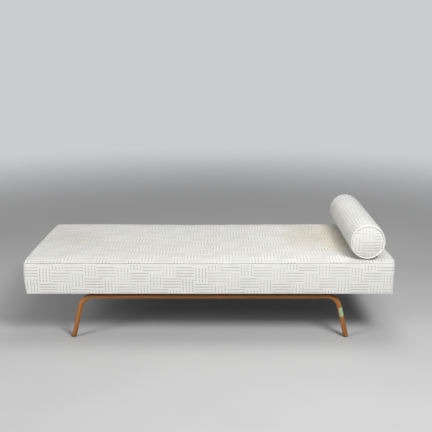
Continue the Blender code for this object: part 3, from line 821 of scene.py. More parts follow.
def top_points(body, xs, ys):
    """Points of the crowned top, and the numbers of those that the seam holds."""
    crown = TOP_Z - SEAM_Z - CROWN_ROOM
    points = []
    held = []
    for gx in xs:
        for gy in ys:
            x, y, out = round_plan(gx, gy, HALF_L, HALF_D, body.corner)
            edge = min(HALF_L - abs(gx), HALF_D - abs(gy))
            share = crown_share(edge_run(gx, gy, body), body.reach)
            rise = crown - CROWN_SAG * body.sag * sag_share(x)
            z = SEAM_Z + seam_shift(x, y, body) + rise * share
            lift = 0.0
            if edge < ON_SEAM:
                x -= out[0] * body.seam_depth
                y -= out[1] * body.seam_depth
            else:
                lift = pucker(0.0009, edge, x, y, layer=1.0, wavelength=0.055)
            if edge < HELD_AT_SEAM:
                held.append(len(points))
            points.append((x - left_fill(x, y, z, body), y, z + lift))
    return points, held


def side_drops(tall, step):
    """Drops below the seam of the rows of points on the sides."""
    first = SIDE_LINES[-1]
    even = tall - first - BASE_LINES[0]
    count = round(even / step)
    middle = [first + even * k / count for k in range(1, count + 1)]
    return [*SIDE_LINES, *middle, *(tall - rest for rest in BASE_LINES[1:])]


def side_point(gx, gy, drop, tall, body):
    """Point of a side panel at a drop below the seam: bulged, drawn in at the seam and slightly uneven."""
    x, y, out = round_plan(gx, gy, HALF_L, HALF_D, body.corner)
    t = drop / tall
    full = body.bulge * math.sin(math.pi * min(t * 1.06, 1.0)) ** 0.8 * (1 - body.flat_end * max(out[0], 0.0))
    drawn = 0.6 * body.seam_depth * max(1 - drop / SIDE_LINES[2], 0.0) ** 2
    uneven = 0.0010 * ripple(x, y, drop, 0.20) * math.sin(math.pi * t)
    tucked = 0.0003 if drop > tall - 0.003 else 0.0
    gathered = pucker(0.0007, drop, x, y, layer=3.0, wavelength=0.060)
    push = full - drawn + uneven + gathered - tucked
    z = SEAM_Z - drop + seam_shift(x, y, body) * (1 - t) ** 2
    return x + out[0] * push - left_fill(x, y, z, body), y + out[1] * push, z


def cloth_box(body):
    """Points, faces, panel numbers, held points and seam of the cloth box before it is filled."""
    xs = grid_lines(HALF_L, body.step)
    ys = grid_lines(HALF_D, body.step)
    nx = len(xs) - 1
    ny = len(ys) - 1
    points, held = top_points(body, xs, ys)
    faces = grid_faces(nx, ny)
    panel = [0] * len(faces)
    loop = [(i, 0) for i in range(nx)] + [(nx, j) for j in range(ny)]
    loop += [(i, ny) for i in range(nx, 0, -1)] + [(0, j) for j in range(ny, 0, -1)]
    side = [1] * nx + [2] * ny + [3] * nx + [4] * ny
    tall = SEAM_Z - UNDER_Z
    rows = []
    for drop in side_drops(tall, body.step):
        still = drop < HELD_AT_SEAM or drop > tall - HELD_AT_BASE
        rows.append((still, [side_point(xs[i], ys[j], drop, tall, body) for i, j in loop]))
    for inset, lift in TURN_UNDER:
        inner_l = HALF_L - inset
        inner_d = HALF_D - inset
        row = [(xs[i] * inner_l / HALF_L, ys[j] * inner_d / HALF_D, UNDER_Z + lift) for i, j in loop]
        rows.append((True, row))
    seam = [i * (ny + 1) + j for i, j in loop]
    above = seam
    for still, row in rows:
        below = list(range(len(points), len(points) + len(row)))
        points += row
        if still:
            held += below
        for k in range(len(row)):
            n = (k + 1) % len(row)
            faces.append((above[k], below[k], below[n], above[n]))
        panel += side
        above = below
    return points, faces, panel, held, seam


def crease_loop(mesh, loop, sharpness):
    """Keep a loop of points sharp when the mesh is subdivided."""
    wanted = {frozenset((a, c)) for a, c in zip(loop, loop[1:] + loop[:1])}
    values = [sharpness if frozenset(e.vertices) in wanted else 0.0 for e in mesh.edges]
    mesh.attributes.new("crease_edge", "FLOAT", "EDGE").data.foreach_set("value", values)


def paint_seam_shade(mesh, loop):
    """Note how much painted shade each point gets in the seam crease: most on its line and towards the left,
    less beside it.
    """
    beside, least, more = 0.08, 0.78, 0.22
    depth = np.zeros(len(mesh.vertices), np.float32)
    inside = set(loop)
    for edge in mesh.edges:
        a, c = edge.vertices
        if (a in inside) != (c in inside):
            depth[c if a in inside else a] = beside
    x = read_points(mesh)[loop, 0]
    depth[loop] = least + more * np.clip(-0.2 - 2 * x, 0.0, 1.0)
    note_points(mesh, "seam", depth)


def cut_panels(obj, names, materials):
    """Cut a mesh of four-sided faces along its material borders into pieces that keep the common shading."""
    mesh = obj.data
    points = read_points(mesh)
    normals = np.empty(len(mesh.vertices) * 3, np.float32)
    mesh.vertex_normals.foreach_get("vector", normals)
    normals = normals.reshape(-1, 3)
    quads = corner_points(mesh).reshape(-1, 4)
    kind = np.empty(len(mesh.polygons), np.int32)
    mesh.polygons.foreach_get("material_index", kind)
    seam = np.zeros(len(mesh.vertices), np.float32)
    if "seam" in mesh.attributes:
        mesh.attributes["seam"].data.foreach_get("value", seam)
    pieces = []
    for number, name in enumerate(names):
        used, local = np.unique(quads[kind == number], return_inverse=True)
        piece = make_object(name, points[used], local.reshape(-1, 4).tolist(), [materials[number]])
        piece.data.normals_split_custom_set_from_vertices(normals[used].tolist())
        note_points(piece.data, "seam", seam[used])
        pieces.append(piece)
    bpy.data.objects.remove(obj)
    return pieces


def panel_uv(points, name):
    """Lengths along the cloth of the points of one panel of the body."""
    x, y, z = np.asarray(points).T
    start = PATTERN_START[name]
    if name == "top":
        return np.stack([x + start, (y + TOP_SHIFT) * TOP_STRETCH], 1)
    along = {"front": x, "right": y, "rear": -x, "left": -y}[name]
    half, out = (HALF_D, y) if name in ROWS else (HALF_L, x)
    inward = np.clip(half - TURN_EDGE - np.abs(out), 0.0, None)
    inward = np.where(z < UNDER_Z + TURN_HEIGHT, inward, 0.0)
    return np.stack([along + start, z + SIDE_SHIFT - inward], 1)


class DAYBED_OT_upholstery(bpy.types.Operator):
    """Sew and fill the cloth box: top panel and four side panels"""

    bl_idname = "daybed.upholstery"
    bl_label = "Upholstery"

    def execute(self, context):
        body = context.scene.daybed_body
        cloth = context.scene.daybed_cloth
        points, faces, panel, held, seam = cloth_box(body)
        plain = woven_cloth("woven_cloth", cloth, lit_seam_edge=SEAM_Z + SIDE_SHIFT)
        # The top's cloth carries the marks: soil at the left, soil and painted shade beside the bolster at
        # the right
        soil_and_shade = [(tuple(panel_uv([(*spot, TOP_Z)], "top")[0]), *rest) for spot, *rest in SOIL_AND_SHADE_MARKS]
        worn = woven_cloth("woven_cloth_top", cloth, soil_and_shade, 1.35)
        finishes = [worn, plain, plain, plain, plain]
        obj = make_object("cloth_box", points, faces, finishes)
        obj.data.polygons.foreach_set("material_index", panel)
        crease_loop(obj.data, seam, 1.0)
        paint_seam_shade(obj.data, seam)
        relax(obj, held, body.pressure, gravity=0.0, frames=body.frames, cap=body.swell)
        settled = read_points(obj.data)
        settled[:, 2] = np.minimum(settled[:, 2], TOP_Z - FILLED_ROOM)
        write_points(obj.data, settled)
        smooth_once(obj)
        pieces = cut_panels(obj, [f"{word}_panel" for word in PANELS], finishes)
        for piece, word in zip(pieces, PANELS):
            point_uv(piece.data, panel_uv(read_points(piece.data), word))
            seat(piece, "daybed", "woven_cloth", f"{word}_cover")
        return {"FINISHED"}


def roll_point(along, radius, angle):
    """Point about the bolster's axis."""
    out = ROLL_OUT * (radius * math.cos(angle))
    return ROLL_CENTRE + ROLL_AXIS * along + out + ROLL_UP * (radius * math.sin(angle))


def roll_size(node):
    """Lowest and highest place along the bolster's axis and greatest distance from it of a solid."""
    away = [v.co - ROLL_CENTRE for v in frame["nodes"][node].data.vertices]
    along = [a.dot(ROLL_AXIS) for a in away]
    radius = max((a - ROLL_AXIS * t).length for a, t in zip(away, along))
    return min(along), max(along), radius


def bolster_rings(shape, inset=0.0):
    """(along, radius, kind) of the rings from the middle of the front end to the middle of the rear end."""
    low, high, radius = roll_size("bolster_barrel")
    half = (high - low) / 2
    rim = roll_size("bolster_front_welt")[2]
    disc = roll_size("bolster_front_end")[2]
    past_rim, roundness = 0.003, 2.4
    end = []
    for t in DISC_RINGS:
        end.append((half + past_rim + shape.dome * (1 - t ** roundness) - inset, disc * t, FRONT_END))
    # The cloth dips into the groove under the welt before the sleeve starts
    end.append((half + 0.0020 - inset, disc, FRONT_END))
    end.append((half - 0.0005, rim - 0.0030 - inset, SLEEVE))
    first = SLEEVE_LINES[-1]
    places = [*SLEEVE_LINES]
    places += [first + 2 * (half - first) * k / SLEEVE_STEPS for k in range(1, SLEEVE_STEPS)]
    places += [2 * half - s for s in reversed(SLEEVE_LINES)]
    sleeve = []
    for place in places:
        t = min(min(place, 2 * half - place) / RIM_EASE, 1.0)
        sleeve.append((half - place, radius - (radius - rim) * (1 - t) ** 2 - inset, SLEEVE))
    turned = [(-a, r, REAR_END if kind == FRONT_END else SLEEVE) for a, r, kind in reversed(end)]
    middle = (low + high) / 2
    return [(middle - a, r, kind) for a, r, kind in end + sleeve + turned]


def keep_inside(mesh, most):
    """Draw in the points that lie further than a distance from the bolster's axis."""
    origin = np.array(ROLL_CENTRE)
    axis = np.array(ROLL_AXIS)
    away = read_points(mesh) - origin
    along = away @ axis
    radial = away - np.outer(along, axis)
    size = np.maximum(np.linalg.norm(radial, axis=1), TINY)
    limit = np.minimum(size, most)
    write_points(mesh, origin + np.outer(along, axis) + radial * (limit / size)[:, None])


class DAYBED_OT_bolster(bpy.types.Operator):
    """Make the bolster: filled core, barrel, two domed ends and two welts"""

    bl_idname = "daybed.bolster"
    bl_label = "Bolster"

    def execute(self, context):
        shape = context.scene.daybed_bolster
        cloth = context.scene.daybed_cloth
        radius = roll_size("bolster_barrel")[2]
        most = radius + 0.0002
        end_cloth = woven_cloth("bolster_end_cloth", cloth, strength=0.70)
        finishes = [end_cloth, woven_cloth("bolster_cloth", cloth, strength=1.35), end_cloth]
        obj = self.cover(shape, radius, finishes)
        keep_inside(obj.data, most)
        self.cut(obj, finishes, radius)
        self.welts(cloth)
        self.core(shape)
        return {"FINISHED"}

    def cover(self, shape, radius, finishes):
        """The closed cover in one piece, filled."""
        count = shape.around
        rows = bolster_rings(shape)
        rings = []
        for along, size, kind in rows:
            start = size - (shape.slack if kind == SLEEVE and size > radius - 0.004 else 0.0)
            ring = []
            for turn in turns(count):
                angle = turn - math.pi / 2
                uneven = 0.0006 * ripple(math.cos(angle) * 0.2, along, math.sin(angle) * 0.2, 0.11)
                ring.append(roll_point(along, start + uneven * (kind == SLEEVE), angle))
            rings.append(ring)
        points, faces = skin(rings, caps=False)
        hub = len(points)
        points += [roll_point(rows[k][0], 0.0, 0.0) for k in (0, -1)]
        kinds = []
        for row, after in zip(rows, rows[1:]):
            kinds += [row[2] if row[2] == after[2] else SLEEVE] * count
        obj = make_object("bolster_cover_cloth", points, faces, finishes)
        obj.data.polygons.foreach_set("material_index", kinds)
        self.close_end(obj, 0, hub, count, FRONT_END)
        self.close_end(obj, hub - count, hub + 1, count, REAR_END)
        face_out(obj)
        rim = range(len(DISC_RINGS), len(DISC_RINGS) + 3)
        held = [r * count + k for r in rim for k in range(count)]
        held += [(len(rings) - 1 - r) * count + k for r in rim for k in range(count)]
        relax(obj, held, pressure=2.5, gravity=0.0, frames=14, cap=0.0028)
        return obj

    def close_end(self, obj, row, hub, count, kind):
        """Fill the small hole in the middle of an end with four-sided faces."""
        bm = bmesh.new()
        bm.from_mesh(obj.data)
        bm.verts.ensure_lookup_table()
        for k in range(0, count, 2):
            ring = [bm.verts[row + (k + s) % count] for s in range(3)]
            face = bm.faces.new((*ring, bm.verts[hub]))
            face.material_index = kind
            face.smooth = True
        bm.to_mesh(obj.data)
        bm.free()

    def cut(self, obj, finishes, radius):
        """Cut the filled cover into its three pieces and lay the cloth on them."""
        smooth_once(obj)
        names = ("bolster_front_disc", "bolster_sleeve", "bolster_rear_disc")
        nodes = ("bolster_front_end", "bolster_barrel", "bolster_rear_end")
        for piece, node in zip(cut_panels(obj, names, finishes), nodes):
            away = read_points(piece.data) - np.array(ROLL_CENTRE)
            across, rise, along = (away @ np.array(way) for way in (ROLL_OUT, ROLL_UP, ROLL_AXIS))
            if node == "bolster_barrel":
                self.sleeve_uv(piece.data, np.arctan2(rise, across) + math.pi / 2, along, radius)
            else:
                mirror = 1 if "front" in node else -1
                point_uv(piece.data, np.stack([across * mirror, rise], 1) + DISC_SHIFT)
            seat(piece, "bolster_cover", "woven_cloth", node)

    def sleeve_uv(self, mesh, turn, along, radius):
        """Lay the cloth round the sleeve, closed by a seam at the bottom."""
        corners = corner_points(mesh)
        around = np.where(turn < 0, turn + 2 * math.pi, turn)[corners].reshape(-1, 4)
        wrapped = (around.max(1) - around.min(1) > math.pi)[:, None] & (around < math.pi)
        around = around + wrapped * 2 * math.pi
        corner_uv(mesh, np.stack([around.ravel() * radius, along[corners]], 1) + SLEEVE_SHIFT)

    def welts(self, cloth):
        """Piping round both ends, with the small wobble of sewn cord."""
        mat = welt_cloth("welt_cloth", cloth)
        steps_round, steps_cord, twists = 144, 14, 60
        for word in ROWS:
            low, high, rim = roll_size(f"bolster_{word}_welt")
            cord = (high - low) / 2
            middle = (low + high) / 2
            rings = []
            pairs = []
            for angle in turns(steps_round):
                wobble = 0.0004 * ripple(math.cos(angle), math.sin(angle), middle, 0.25)
                size = cord * (1.0 + 0.04 * math.cos(angle * twists))
                ring = []
                for turn in turns(steps_cord):
                    far = rim - cord + size * math.sin(turn) + wobble
                    ring.append(roll_point(middle + size * math.cos(turn), min(far, rim), angle))
                    pairs.append((angle * rim, turn * cord))
                rings.append(ring)
            points, faces = skin(rings, closed=True)
            piece = make_object(f"bolster_{word}_piping", points, faces, [mat])
            face_out(piece)
            point_uv(piece.data, pairs)
            seat(piece, "bolster_cover", "woven_cloth", f"bolster_{word}_welt")

    def core(self, shape):
        """The stuffed roll inside the cover."""
        uneven = 0.0012
        rings = []
        for along, size, _ in bolster_rings(shape, 0.0045):
            ring = []
            for angle in turns(48):
                lump = uneven * ripple(math.cos(angle) * 0.1, along, math.sin(angle) * 0.1, 0.05)
                ring.append(roll_point(along, max(size + lump - uneven, 0.001), angle))
            rings.append(ring)
        points, faces = skin(rings)
        wadding = open_foam("wadding", (0.80, 0.79, 0.76), 260.0)
        piece = make_object("bolster_filling_roll", points, faces, [wadding])
        face_out(piece)
        seat(piece, "bolster_filling", "bolster_filling", "bolster_core")


def bar_path(wood):
    """Centre line of a bent bar from left foot to right foot as (x, z, direction x, direction z, length)."""
    radius = wood.bend_radius
    turn = math.pi / 2 - wood.lean
    bend_x = FOOT_X - BAR_Z * math.tan(wood.lean) - radius * math.tan(turn / 2)
    half = []
    for k in range(1, RAIL_STEPS):
        x = bend_x * k / RAIL_STEPS
        half.append((x, BAR_Z, 1.0, 0.0, x))
    for k in range(BEND_STEPS + 1):
        a = math.pi / 2 - turn * k / BEND_STEPS
        x = bend_x + radius * math.cos(a)
        z = BAR_Z - radius + radius * math.sin(a)
        half.append((x, z, math.sin(a), -math.cos(a), bend_x + radius * turn * k / BEND_STEPS))
    x, z, dx, dz, run = half[-1]
    for share in LEG_SHARES:
        step = (z - FOOT_Z) / -dz * share
        half.append((x + dx * step, z + dz * step, dx, dz, run + step))
    left = [(-x, z, dx, -dz, -run) for x, z, dx, dz, run in reversed(half)]
    return left + [(0.0, BAR_Z, 1.0, 0.0, 0.0)] + half


def bar_rings(wood, y, sides):
    """Rings of a bent bar with its feet cut level and their edges eased."""
    path = bar_path(wood)
    rings = []
    for x, z, dx, dz, _ in path:
        rings.append([(x + BAR_R * math.sin(a) * -dz, y + BAR_R * math.cos(a), z + BAR_R * math.sin(a) * dx)
                      for a in turns(sides)])
    feet = []
    for x, z, dx, dz, _ in (path[0], path[-1]):
        foot = []
        for lift, size in FOOT_CUTS:
            ring = []
            for a in turns(sides):
                rise = BAR_R * size * math.sin(a)
                step = (FOOT_Z + lift - z - rise * dx) / dz
                ring.append((x - rise * dz + dx * step, y + BAR_R * size * math.cos(a), FOOT_Z + lift))
            foot.append(ring)
        feet.append(foot)
    return feet[0][::-1] + rings + feet[1]


def bar_grain(points, wood, y):
    """Place in the wood of each point: length along the bar and the two offsets from its centre line."""
    path = np.array(bar_path(wood))
    flat = points[:, [0, 2]]
    near = np.argmin(((flat[:, None, :] - path[None, :, :2]) ** 2).sum(2), axis=1)
    base = path[near]
    gap = flat - base[:, :2]
    ahead = (gap * base[:, 2:4]).sum(1)
    rise = gap[:, 1] * base[:, 2] - gap[:, 0] * base[:, 3]
    return np.stack([base[:, 4] + ahead + y * 3.0, points[:, 1] - y, rise], 1)


def bore(obj, holes, sides):
    """Cut round holes, given as (place, radius, depth), straight up into an object."""
    points = []
    faces = []
    for (x, y, z), radius, depth in holes:
        more, shells = skin([circle(x, y, level, radius, sides) for level in (z - 0.01, z + depth)])
        faces += [tuple(len(points) + i for i in face) for face in shells]
        points += more
    cutter = make_object(obj.name + "_bit", points, faces, [obj.data.materials[0]])
    face_out(cutter)
    shape_with(obj, "BOOLEAN", solver="EXACT", object=cutter)
    bpy.data.objects.remove(cutter)


class DAYBED_OT_bent_frames(bpy.types.Operator):
    """Bend the two round bars, with sunk holes for their screws"""

    bl_idname = "daybed.bent_frames"
    bl_label = "Bent frames"

    def execute(self, context):
        wood = context.scene.daybed_wood
        mat = bent_wood("bent_wood", wood)
        for row, y in (("front", -BAR_Y), ("rear", BAR_Y)):
            points, faces = skin(bar_rings(wood, y, sides=44))
            piece = make_object(f"{row}_bent_bar", points, faces, [mat])
            face_out(piece)
            bore(piece, [self.hole(f"{row}_{word}_frame_screw", y) for word in SPOTS], sides=28)
            grain = bar_grain(read_points(piece.data), wood, y)
            data = piece.data.attributes.new("grain", "FLOAT_VECTOR", "POINT").data
            data.foreach_set("vector", np.asarray(grain, np.float32).ravel())
            sharpen(piece, 40)
            seat(piece, "daybed", "bent_beech", f"{row}_bent_frame")
        return {"FINISHED"}

    def hole(self, screw, y):
        """Place, radius and depth of the hole that a screw's head sits in."""
        low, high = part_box(screw)
        room, head = 0.0004, 0.0032
        place = (centre(low, high)[0], y, BAR_Z - BAR_R)
        return place, (high.x - low.x) / 2 + room, low.z - BAR_Z + BAR_R + head


class DAYBED_OT_saddle_blocks(bpy.types.Operator):
    """Shape the six blocks between the bent bars and the base"""

    bl_idname = "daybed.saddle_blocks"
    bl_label = "Saddle blocks"

    def execute(self, context):
        # The blocks take the near-black wood: painted shade of the gap under the body
        mat = stained_wood("painted_shade_block_wood", context.scene.daybed_wood)
        for row in ROWS:
            for word in SPOTS:
                self.block(f"{row}_{word}", mat)
        return {"FINISHED"}

    def block(self, name, mat):
        """One block with eased edges and a round seat."""
        low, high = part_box(f"{name}_saddle_block")
        y = centre(low, high)[1]
        seat_r = BAR_R + 0.0003
        steps = 12
        span = math.acos(min((low.z - BAR_Z) / seat_r, 1.0))
        outline = [(high.y, low.z), (high.y, high.z), (low.y, high.z), (low.y, low.z)]
        for k in range(steps + 1):
            a = -span + 2 * span * k / steps
            outline.append((y + seat_r * math.sin(a), BAR_Z + seat_r * math.cos(a)))
        points, faces = skin([[(x, a, z) for a, z in outline] for x in (low.x, high.x)])
        piece = make_object(f"{name}_saddle", points, faces, [mat])
        face_out(piece)
        limit = math.radians(50)
        shape_with(piece, "BEVEL", width=0.0004, segments=3, limit_method="ANGLE", angle_limit=limit)
        sharpen(piece, 45)
        seat(piece, "daybed", "stained_wood", f"{name}_saddle_block")


class DAYBED_OT_glides(bpy.types.Operator):
    """Turn the four glides under the feet"""

    bl_idname = "daybed.glides"
    bl_label = "Glides"

    def execute(self, context):
        mat = worn_steel("dark_glide_steel", (0.150, 0.138, 0.125), 0.46, 900.0)
        for row in ROWS:
            for word in ("left", "right"):
                self.glide(f"{row}_{word}", mat)
        return {"FINISHED"}

    def glide(self, name, mat):
        """A domed disc with a rolled edge and its pin."""
        low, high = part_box(f"{name}_glide")
        x, y, _ = centre(low, high)
        r = (high.x - low.x) / 2
        disc = FOOT_Z - 0.0003
        pin = 0.002
        profile = [(0.0, r * 0.30), (0.0, r * 0.78), (0.0003, r * 0.88), (0.0010, r * 0.96), (0.0019, r),
                   (disc - 0.0009, r), (disc - 0.0003, r - 0.0004), (disc, r - 0.0010), (disc, pin),
                   (high.z - 0.003, pin), (high.z, pin * 0.3)]
        points, faces = skin([circle(x, y, z, size, 40) for z, size in profile])
        piece = make_object(f"{name}_foot_glide", points, faces, [mat])
        face_out(piece)
        sharpen(piece, 50)
        seat(piece, "daybed", "glide_steel", f"{name}_glide")


class DAYBED_OT_dust_cover(bpy.types.Operator):
    """Hang the black cloth under the base and staple it"""

    bl_idname = "daybed.dust_cover"
    bl_label = "Dust cover"

    def execute(self, context):
        low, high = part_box("dust_cover")
        half_l = high.x
        half_d = high.y
        z = centre(low, high)[2]
        nx, ny = 96, 40
        rail, round_block = 0.058, 0.01
        blocks = [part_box(f"{row}_{word}_saddle_block") for row in ROWS for word in SPOTS]
        places = round_sheet(half_l, half_d, 0.014, nx, ny)
        held = []
        for number, (x, y) in enumerate(places):
            under_rail = half_d - abs(y) < rail or half_l - abs(x) < rail
            pressed = any(first.x - round_block < x < last.x + round_block
                          and first.y - round_block < y < last.y + round_block for first, last in blocks)
            if under_rail or pressed:
                held.append(number)
        mat = plain_weave("black_dust_cloth", (0.040, 0.040, 0.042), (0.015, 0.015, 0.016), 0.0016, 0.92)
        points = [(x, y, z) for x, y in places]
        piece = make_object("dust_sheet", points, grid_faces(nx, ny, flip=True), [mat])
        relax(piece, held, pressure=0.0, gravity=1.0, frames=18, cap=0.0055)
        point_uv(piece.data, read_points(piece.data)[:, :2])
        smooth_once(piece)
        seat(piece, "daybed", "dust_cloth", "dust_cover")
        self.staples(half_l, half_d, low.z)
        return {"FINISHED"}

    def staples(self, half_l, half_d, z):
        """A row of wire staples round the edge of the black cloth."""
        inset, corner, pitch = 0.009, 0.03, 0.052
        sunk = z - 0.0001
        bm = bmesh.new()
        for half, other, lengthways in ((half_l, half_d, True), (half_d, half_l, False)):
            count = round(2 * (half - corner) / pitch)
            for k in range(count + 1):
                stray = 0.004 * ripple(k * 0.37, half, 2.0, 0.6)
                at = -half + corner + 2 * (half - corner) * k / count + stray
                for side in (-1, 1):
                    off = side * (other - inset)
                    twist = 0.22 * ripple(k * 1.7, side, half, 0.9)
                    if lengthways:
                        self.staple(bm, (at, off, sunk), twist)
                    else:
                        self.staple(bm, (off, at, sunk), twist + math.pi / 2)
        mesh = bpy.data.meshes.new("dust_sheet_staples")
        bm.to_mesh(mesh)
        bm.free()
        mesh.materials.append(worn_steel("staple_wire", (0.52, 0.52, 0.53), 0.34, 700.0))
        piece = link(bpy.data.objects.new("dust_sheet_staples", mesh))
        sharpen(piece, 40)
        seat(piece, "daybed", "zinc_steel")

    def staple(self, bm, place, turn):
        """One staple: a thin bar with eased edges."""
        size = Matrix.Diagonal((0.0098, 0.0011, 0.0007, 1.0))
        matrix = Matrix.Translation(place) @ Matrix.Rotation(turn, 4, "Z") @ size
        made = bmesh.ops.create_cube(bm, size=1.0, matrix=matrix)
        edges = {e for v in made["verts"] for e in v.link_edges}
        bmesh.ops.bevel(bm, geom=list(edges), offset=0.00025, segments=2, profile=0.5, affect="EDGES")


class DAYBED_OT_seat_filling(bpy.types.Operator):
    """Lay webbing, hessian and the pad inside the upholstery"""

    bl_idname = "daybed.seat_filling"
    bl_label = "Seat filling"

    def execute(self, context):
        mat = strap_rubber("strap_rubber_ribbed")
        for name in sorted(n for n in frame["nodes"] if n.startswith("webbing_strap")):
            self.strap(name, mat)
        self.hessian()
        self.pad(context.scene.daybed_body)
        return {"FINISHED"}

    def strap(self, name, mat):
        """Rubber webbing from groove to groove, slightly slack."""
        low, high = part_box(name)
        thick, bend, slack, eased, steps = 0.004, 0.004, 0.0012, 0.0008, 24
        half = thick / 2
        mid = high.z - half
        out = high.y - half
        flat_out = out - 0.005
        path = [(-out, low.z), (-out, mid - 0.005)]
        path += [(-out + bend * (1 - math.cos(a)), mid - bend + bend * math.sin(a)) for a in (0.5, 1.1)]
        for k in range(steps + 1):
            y = -flat_out + 2 * flat_out * k / steps
            flat = min(max((abs(y) / out - 0.78) / 0.1, 0.0), 1.0)
            path.append((y, mid - slack * (1 - (y / out) ** 2) * (1 - flat)))
        path += [(-y, z) for y, z in reversed(path[:4])]
        width = (high.x - low.x) / 2
        x = centre(low, high)[0]
        lower = [(-width, -half * 0.5), (-width + eased, -half), (width - eased, -half), (width, -half * 0.5)]
        section = lower + [(s, -t) for s, t in reversed(lower)]
        rings = []
        pairs = []
        run = 0.0
        for k, (y, z) in enumerate(path):
            before = path[max(k - 1, 0)]
            after = path[min(k + 1, len(path) - 1)]
            step = Vector((after[0] - before[0], after[1] - before[1])).normalized()
            run += math.dist(before, (y, z))
            rings.append([(x + s, y - step.y * t, z + step.x * t) for s, t in section])
            pairs += [(s, run) for s, _ in section]
        points, faces = skin(rings)
        piece = make_object(name + "_web", points, faces, [mat])
        face_out(piece)
        point_uv(piece.data, pairs)
        sharpen(piece, 40)
        seat(piece, "daybed", "strap_rubber", name)

    def hessian(self):
        """Coarse cloth that lies over the webbing."""
        low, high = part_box("hessian_sheet")
        z = centre(low, high)[2]
        nx, ny = 120, 36
        places = round_sheet(high.x, high.y, 0.018, nx, ny)
        points = [(x, y, z + 0.0004 * ripple(x, y, 0.0, 0.08)) for x, y in places]
        mat = plain_weave("hessian_weave", (0.46, 0.33, 0.19), (0.20, 0.13, 0.07), 0.0050, 0.95)
        piece = make_object("hessian_lining", points, grid_faces(nx, ny), [mat])
        point_uv(piece.data, read_points(piece.data)[:, :2])
        seat(piece, "daybed", "hessian_cloth", "hessian_sheet")

    def pad(self, body):
        """Crowned foam block that fills the cloth box."""
        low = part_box("foam_pad")[0]
        inset = 0.0062
        crown = TOP_Z - SEAM_Z - 0.006
        steps = 8
        rows = [(0.006, low.z), (0.001, low.z + 0.002), (0.0, low.z + 0.008), (0.0, SEAM_Z - 0.03),
                (0.0005, SEAM_Z - 0.006)]
        for k in range(steps + 1):
            a = math.pi / 2 * k / steps
            draw = 0.001 + (body.reach - 0.008) * (1 - math.cos(a))
            rows.append((draw, SEAM_Z - 0.004 + crown * math.sin(a)))
        rings = []
        for draw, z in rows:
            corner = 0.018 + 1.4 * draw
            half_l = HALF_L - inset - draw - corner
            half_d = HALF_D - inset - draw - corner
            dip = 1.15 * body.sag if z > SEAM_Z else 0.0
            ring = []
            for cx, cy, start in ((1, -1, -90), (1, 1, 0), (-1, 1, 90), (-1, -1, 180)):
                for k in range(steps + 1):
                    a = math.radians(start + 90 * k / steps)
                    x = cx * half_l + corner * math.cos(a)
                    y = cy * half_d + corner * math.sin(a)
                    ring.append((x, y, z - dip))
            rings.append(ring)
        points, faces = skin(rings)
        foam = open_foam("latex_foam_pores", (0.76, 0.68, 0.47), 210.0)
        piece = make_object("seat_pad", points, faces, [foam])
        face_out(piece)
        sharpen(piece, 50)
        seat(piece, "daybed", "latex_foam", "foam_pad")


class DAYBED_OT_base_frame(bpy.types.Operator):
    """Give the hidden timber base and the screws their finish"""

    bl_idname = "daybed.base_frame"
    bl_label = "Base frame"

    def execute(self, context):
        wood = context.scene.daybed_wood
        long_way = planed_timber("planed_timber_long", wood, (3.0, 55.0, 55.0))
        cross_way = planed_timber("planed_timber_cross", wood, (55.0, 3.0, 55.0))
        steel = worn_steel("zinc_screw_steel", (0.56, 0.56, 0.57), 0.36, 800.0)
        for name, obj in frame["nodes"].items():
            if name.endswith("_screw"):
                mat = steel
            elif name.endswith(("end_rail", "cross_rail")):
                mat = cross_way
            elif name.endswith(("_rail", "_spline", "corner_block")):
                mat = long_way
            else:
                continue
            obj.data.materials.clear()
            obj.data.materials.append(mat)
        return {"FINISHED"}


class DAYBED_OT_paper_band(bpy.types.Operator):
    """Wrap a bare paper band round the right front leg"""

    bl_idname = "daybed.paper_band"
    bl_label = "Paper band"

    def execute(self, context):
        x, z, dx, dz, _ = bar_path(context.scene.daybed_wood)[-1 - len(LEG_SHARES)]
        down = Vector((dx, 0.0, dz))
        side = Vector((-dz, 0.0, dx))
        top, bottom = 0.169, 0.119
        half_wrap, facing_turn = 118, 1.50
        nu, nv = 26, 10
        points = []
        pairs = []
        for i in range(nv + 1):
            height = top + (bottom - top) * i / nv
            for k in range(nu + 1):
                a = math.radians(-half_wrap + 2 * half_wrap * k / nu)
                level = height + 0.0020 * math.sin(a)
                middle = Vector((x, -BAR_Y, z)) + down * ((level - z) / dz)
                curl = 0.0010 * (abs(a) / math.radians(half_wrap)) ** 6
                r = BAR_R + 0.0004 + curl + 0.00012 * ripple(a * 0.1, level, 0.0, 0.02)
                facing = Vector((0, -1, 0)) * math.cos(a + facing_turn) + side * math.sin(a + facing_turn)
                points.append(middle + facing * r)
                pairs.append((a * BAR_R, (top + bottom) / 2 - height))
        piece = make_object("paper_band", points, grid_faces(nv, nu, flip=True), [tag_paper("tag_paper")])
        point_uv(piece.data, pairs)
        shape_with(piece, "SOLIDIFY", thickness=0.0002, offset=1.0)
        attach(piece, "daybed")
        return {"FINISHED"}


